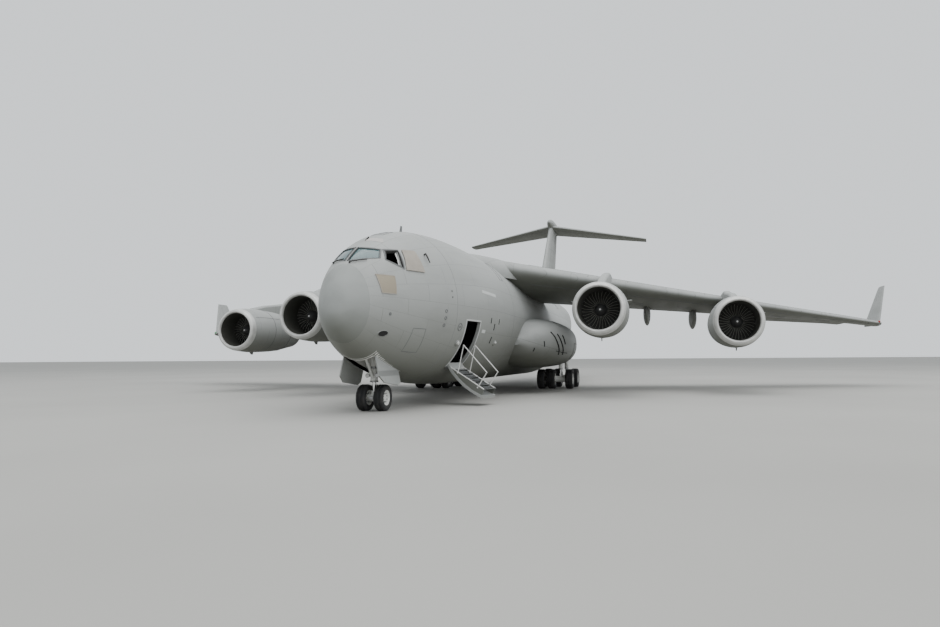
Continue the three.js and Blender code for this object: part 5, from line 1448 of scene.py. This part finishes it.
def make_pod_fittings():
    slits = [[(15.9, 3.45), (16.9, 2.2)], [(16.5, 3.35), (17.5, 2.2)], [(17.15, 3.3), (17.5, 2.8)]]
    ticks = [[(15.36, 2.93), (15.4, 2.62)], [(15.0, 2.56), (15.06, 2.37)]]
    # The slits are dark bars, painted shade for their inside; the other marks are dark seams.
    dark = [line_on(on_pod, points, 0.05, 5) for points in slits]
    dark += [line_on(on_pod, points, 0.03, 3) for points in ticks]
    dark.append(line_on(on_pod, [(16.41, 2.39), (17.4, 2.3), (18.52, 2.28)], 0.025, 6))
    dark += [box_on(on_pod, (y - 1.2, 2.9), (y + 1.2, 1.95), 0.014) for y in MAIN_AXLES.values()]
    pair("pod_seams", [(dark, OPENING_SHADE_AND_SEAMS)], solid=False)


RIBS = (6.9, 9.1, 11.3, 13.6, 16.2, 18.8, 21.6, 24.3)
TOP_PANELS = ((4.9, 6.7), (6.9, 8.9), (9.1, 11.2), (11.6, 13.8), (14.0, 16.6))


def make_wing_fittings():
    top, under = on_foil(WING, 1), on_foil(WING, -1)
    seams = []
    for place in (top, under):
        seams.append(line_on(place, [(3.6, 0.1), (24.6, 0.1)], 0.014, 40))
        seams += [line_on(place, [(span, 0.012), (span, 0.1)], SEAM, 6) for span in RIBS]
    seams += [box_on(top, (low, 0.6), (high, 0.73), 0.013) for low, high in TOP_PANELS]
    seams += [box_on(under, (span, 0.3), (span + 0.9, 0.38), SEAM) for span in range(6, 22, 3)]
    pair("wing_seams", [(seams, MARK_GREY)], solid=False)
    tails = [WING.skin(span, 0.995, 1) for span in np.linspace(23.6, 24.9, 5)]
    wicks = [tube([tail, tail + Vector((0.02, 0.24, 0.0))], [0.012, 0.005], 6) for tail in tails]
    pair("wing_wicks", [(wicks, SEAL_RUBBER)], solid=False)
    bulb = [(0, -0.12), (0.05, -0.1), (0.08, 0), (0.06, 0.16), (0, 0.22)]
    lens = turned(bulb, WING.skin(25.0, 0.02, 1), 16)
    piece("tip_light_port", [(lens, LAMP_RED)], slot="glass")
    piece("tip_light_starboard", [(mirrored(lens), LAMP_GREEN)], slot="glass")


def make_tail_fittings():
    seams, lines = [], []
    for side in (1, -1):
        fin, tailplane = on_foil(FIN, side), on_foil(TAILPLANE, side)
        seams += [line_on(fin, [(z, 0.03), (z, RUDDER_LINE - 0.06)], SEAM, 16) for z in (8.6, 10.9, 13.2)]
        seams += [line_on(fin, [(7.8, share), (15.3, share)], SEAM, 16) for share in (0.16, 0.45)]
        lines.append(line_on(tailplane, [(0.7, 0.12), (9.6, 0.12)], SEAM, 20))
        lines += [line_on(tailplane, [(x, 0.12), (x, 0.64)], 0.011, 10) for x in (2.4, 4.3, 6.2, 8.1)]
    piece("fin_seams", [(seams, MARK_GREY)])
    pair("tailplane_seams", [(lines, MARK_GREY)], solid=False)


def make_nacelle_fittings():
    cowl = smooth_line(COWL, 8)
    bands = []
    for far in (2.35, 4.3):
        radius = min(cowl, key=lambda p: abs(p[1] - far))[0]
        rows = ((-0.01, 0), (0.006, 0), (0.004, 0.03), (-0.01, 0.03))
        bands.append(turned([(radius + out, far + aft) for out, aft in rows], (0, 0, 0), 64, closed=True))
    for angle in (math.radians(degrees) for degrees in (-90, 35, 145)):
        path = [(r * math.cos(angle), y, r * math.sin(angle)) for r, y in cowl if 0.5 < y < 5.9]
        bands.append(tube(path, SEAM, 6))
    mast = radial_plate([(1.35, 1.5), (1.55, 1.75), (1.55, 1.9), (1.35, 1.95)], -math.pi / 2, 0.02)
    for name in ENGINES:
        lip = lip_of(name)
        parts = [(moved(joined(*bands), lip), MARK_GREY), (moved(mast, lip), NACELLE_PAINT[name])]
        pair(f"nacelle_seams_{name}", parts, solid=False, slot="nacelle_paint")


# Stage


GROUND, GROUND_TONES = 900, ((0.36, 0.355, 0.335, 1), (0.32, 0.315, 0.297, 1))
LIT_PLACE = Vector((0, -2, 2))
LIGHTS = {"overhead": ((6, -10, 45), 60, 22000), "side": ((40, -35, 22), 30, 6000)}


def make_stage():
    look = Look("pale_ground")
    cloud = look.noise(0.15, 5.0)
    look.finish(look.mixed(look.ranged(cloud, 0.3, 0.7, 0.0, 1.0), *GROUND_TONES), 0.9)
    mesh = bpy.data.meshes.new("ground")
    corners = [(-GROUND, -GROUND, 0), (GROUND, -GROUND, 0), (GROUND, GROUND, 0), (-GROUND, GROUND, 0)]
    mesh.from_pydata(corners, [], [(0, 1, 2, 3)])
    mesh.materials.append(look.material)
    linked("ground", mesh)

    world = bpy.data.worlds.new("pale_sky")
    world.use_nodes = True
    sky = world.node_tree.nodes["Background"]
    sky.inputs["Color"].default_value = (0.8, 0.835, 0.86, 1)
    sky.inputs["Strength"].default_value = 1.32
    bpy.context.scene.world = world

    for name, (place, size, power) in LIGHTS.items():
        light = bpy.data.lights.new(name, "AREA")
        light.shape, light.size, light.energy = "DISK", size, power
        lamp = linked(name, light)
        lamp.location = place
        lamp.rotation_euler = (LIT_PLACE - Vector(place)).to_track_quat("-Z", "Y").to_euler()


# Camera: eye in full-size metres, angles in degrees, focal length in pixels of the picture's width
EYE = (10.59, -19.685, 1.977)
HEADING, TILT, ROLL = 12.881, 4.024, -0.34
FOCAL_PIXELS, PICTURE_WIDE, OPTICAL_X = 640.123, 940, 508.317
SENSOR = 36


def make_camera():
    az, el, roll = [math.radians(angle) for angle in (HEADING, TILT, ROLL)]
    ahead = Vector((-math.sin(az) * math.cos(el), math.cos(az) * math.cos(el), math.sin(el)))
    level = Vector((math.cos(az), math.sin(az), 0))
    above = level.cross(ahead)
    right = level * math.cos(roll) + above * math.sin(roll)
    up = above * math.cos(roll) - level * math.sin(roll)
    data = bpy.data.cameras.new("camera")
    data.sensor_width = SENSOR
    data.lens = FOCAL_PIXELS * SENSOR / PICTURE_WIDE
    data.shift_x = (PICTURE_WIDE / 2 - OPTICAL_X) / PICTURE_WIDE
    data.clip_end = 3000
    camera = linked("camera", data)
    turn = Matrix((right, up, -ahead)).transposed().to_4x4()
    camera.matrix_world = Matrix.Translation(Vector(to_frame([EYE])[0])) @ turn
    bpy.context.scene.camera = camera


for make in (
    make_camera, make_stage, make_nose, make_windows, make_forward, make_crew_door, make_aft,
    make_wings, make_tail, make_saddle, make_engines, make_pods, make_main_gear, make_nose_gear,
    make_fittings, make_vent, make_body_fittings, make_pod_fittings, make_wing_fittings,
    make_tail_fittings, make_nacelle_fittings, dress_kept_nodes,
):
    make()
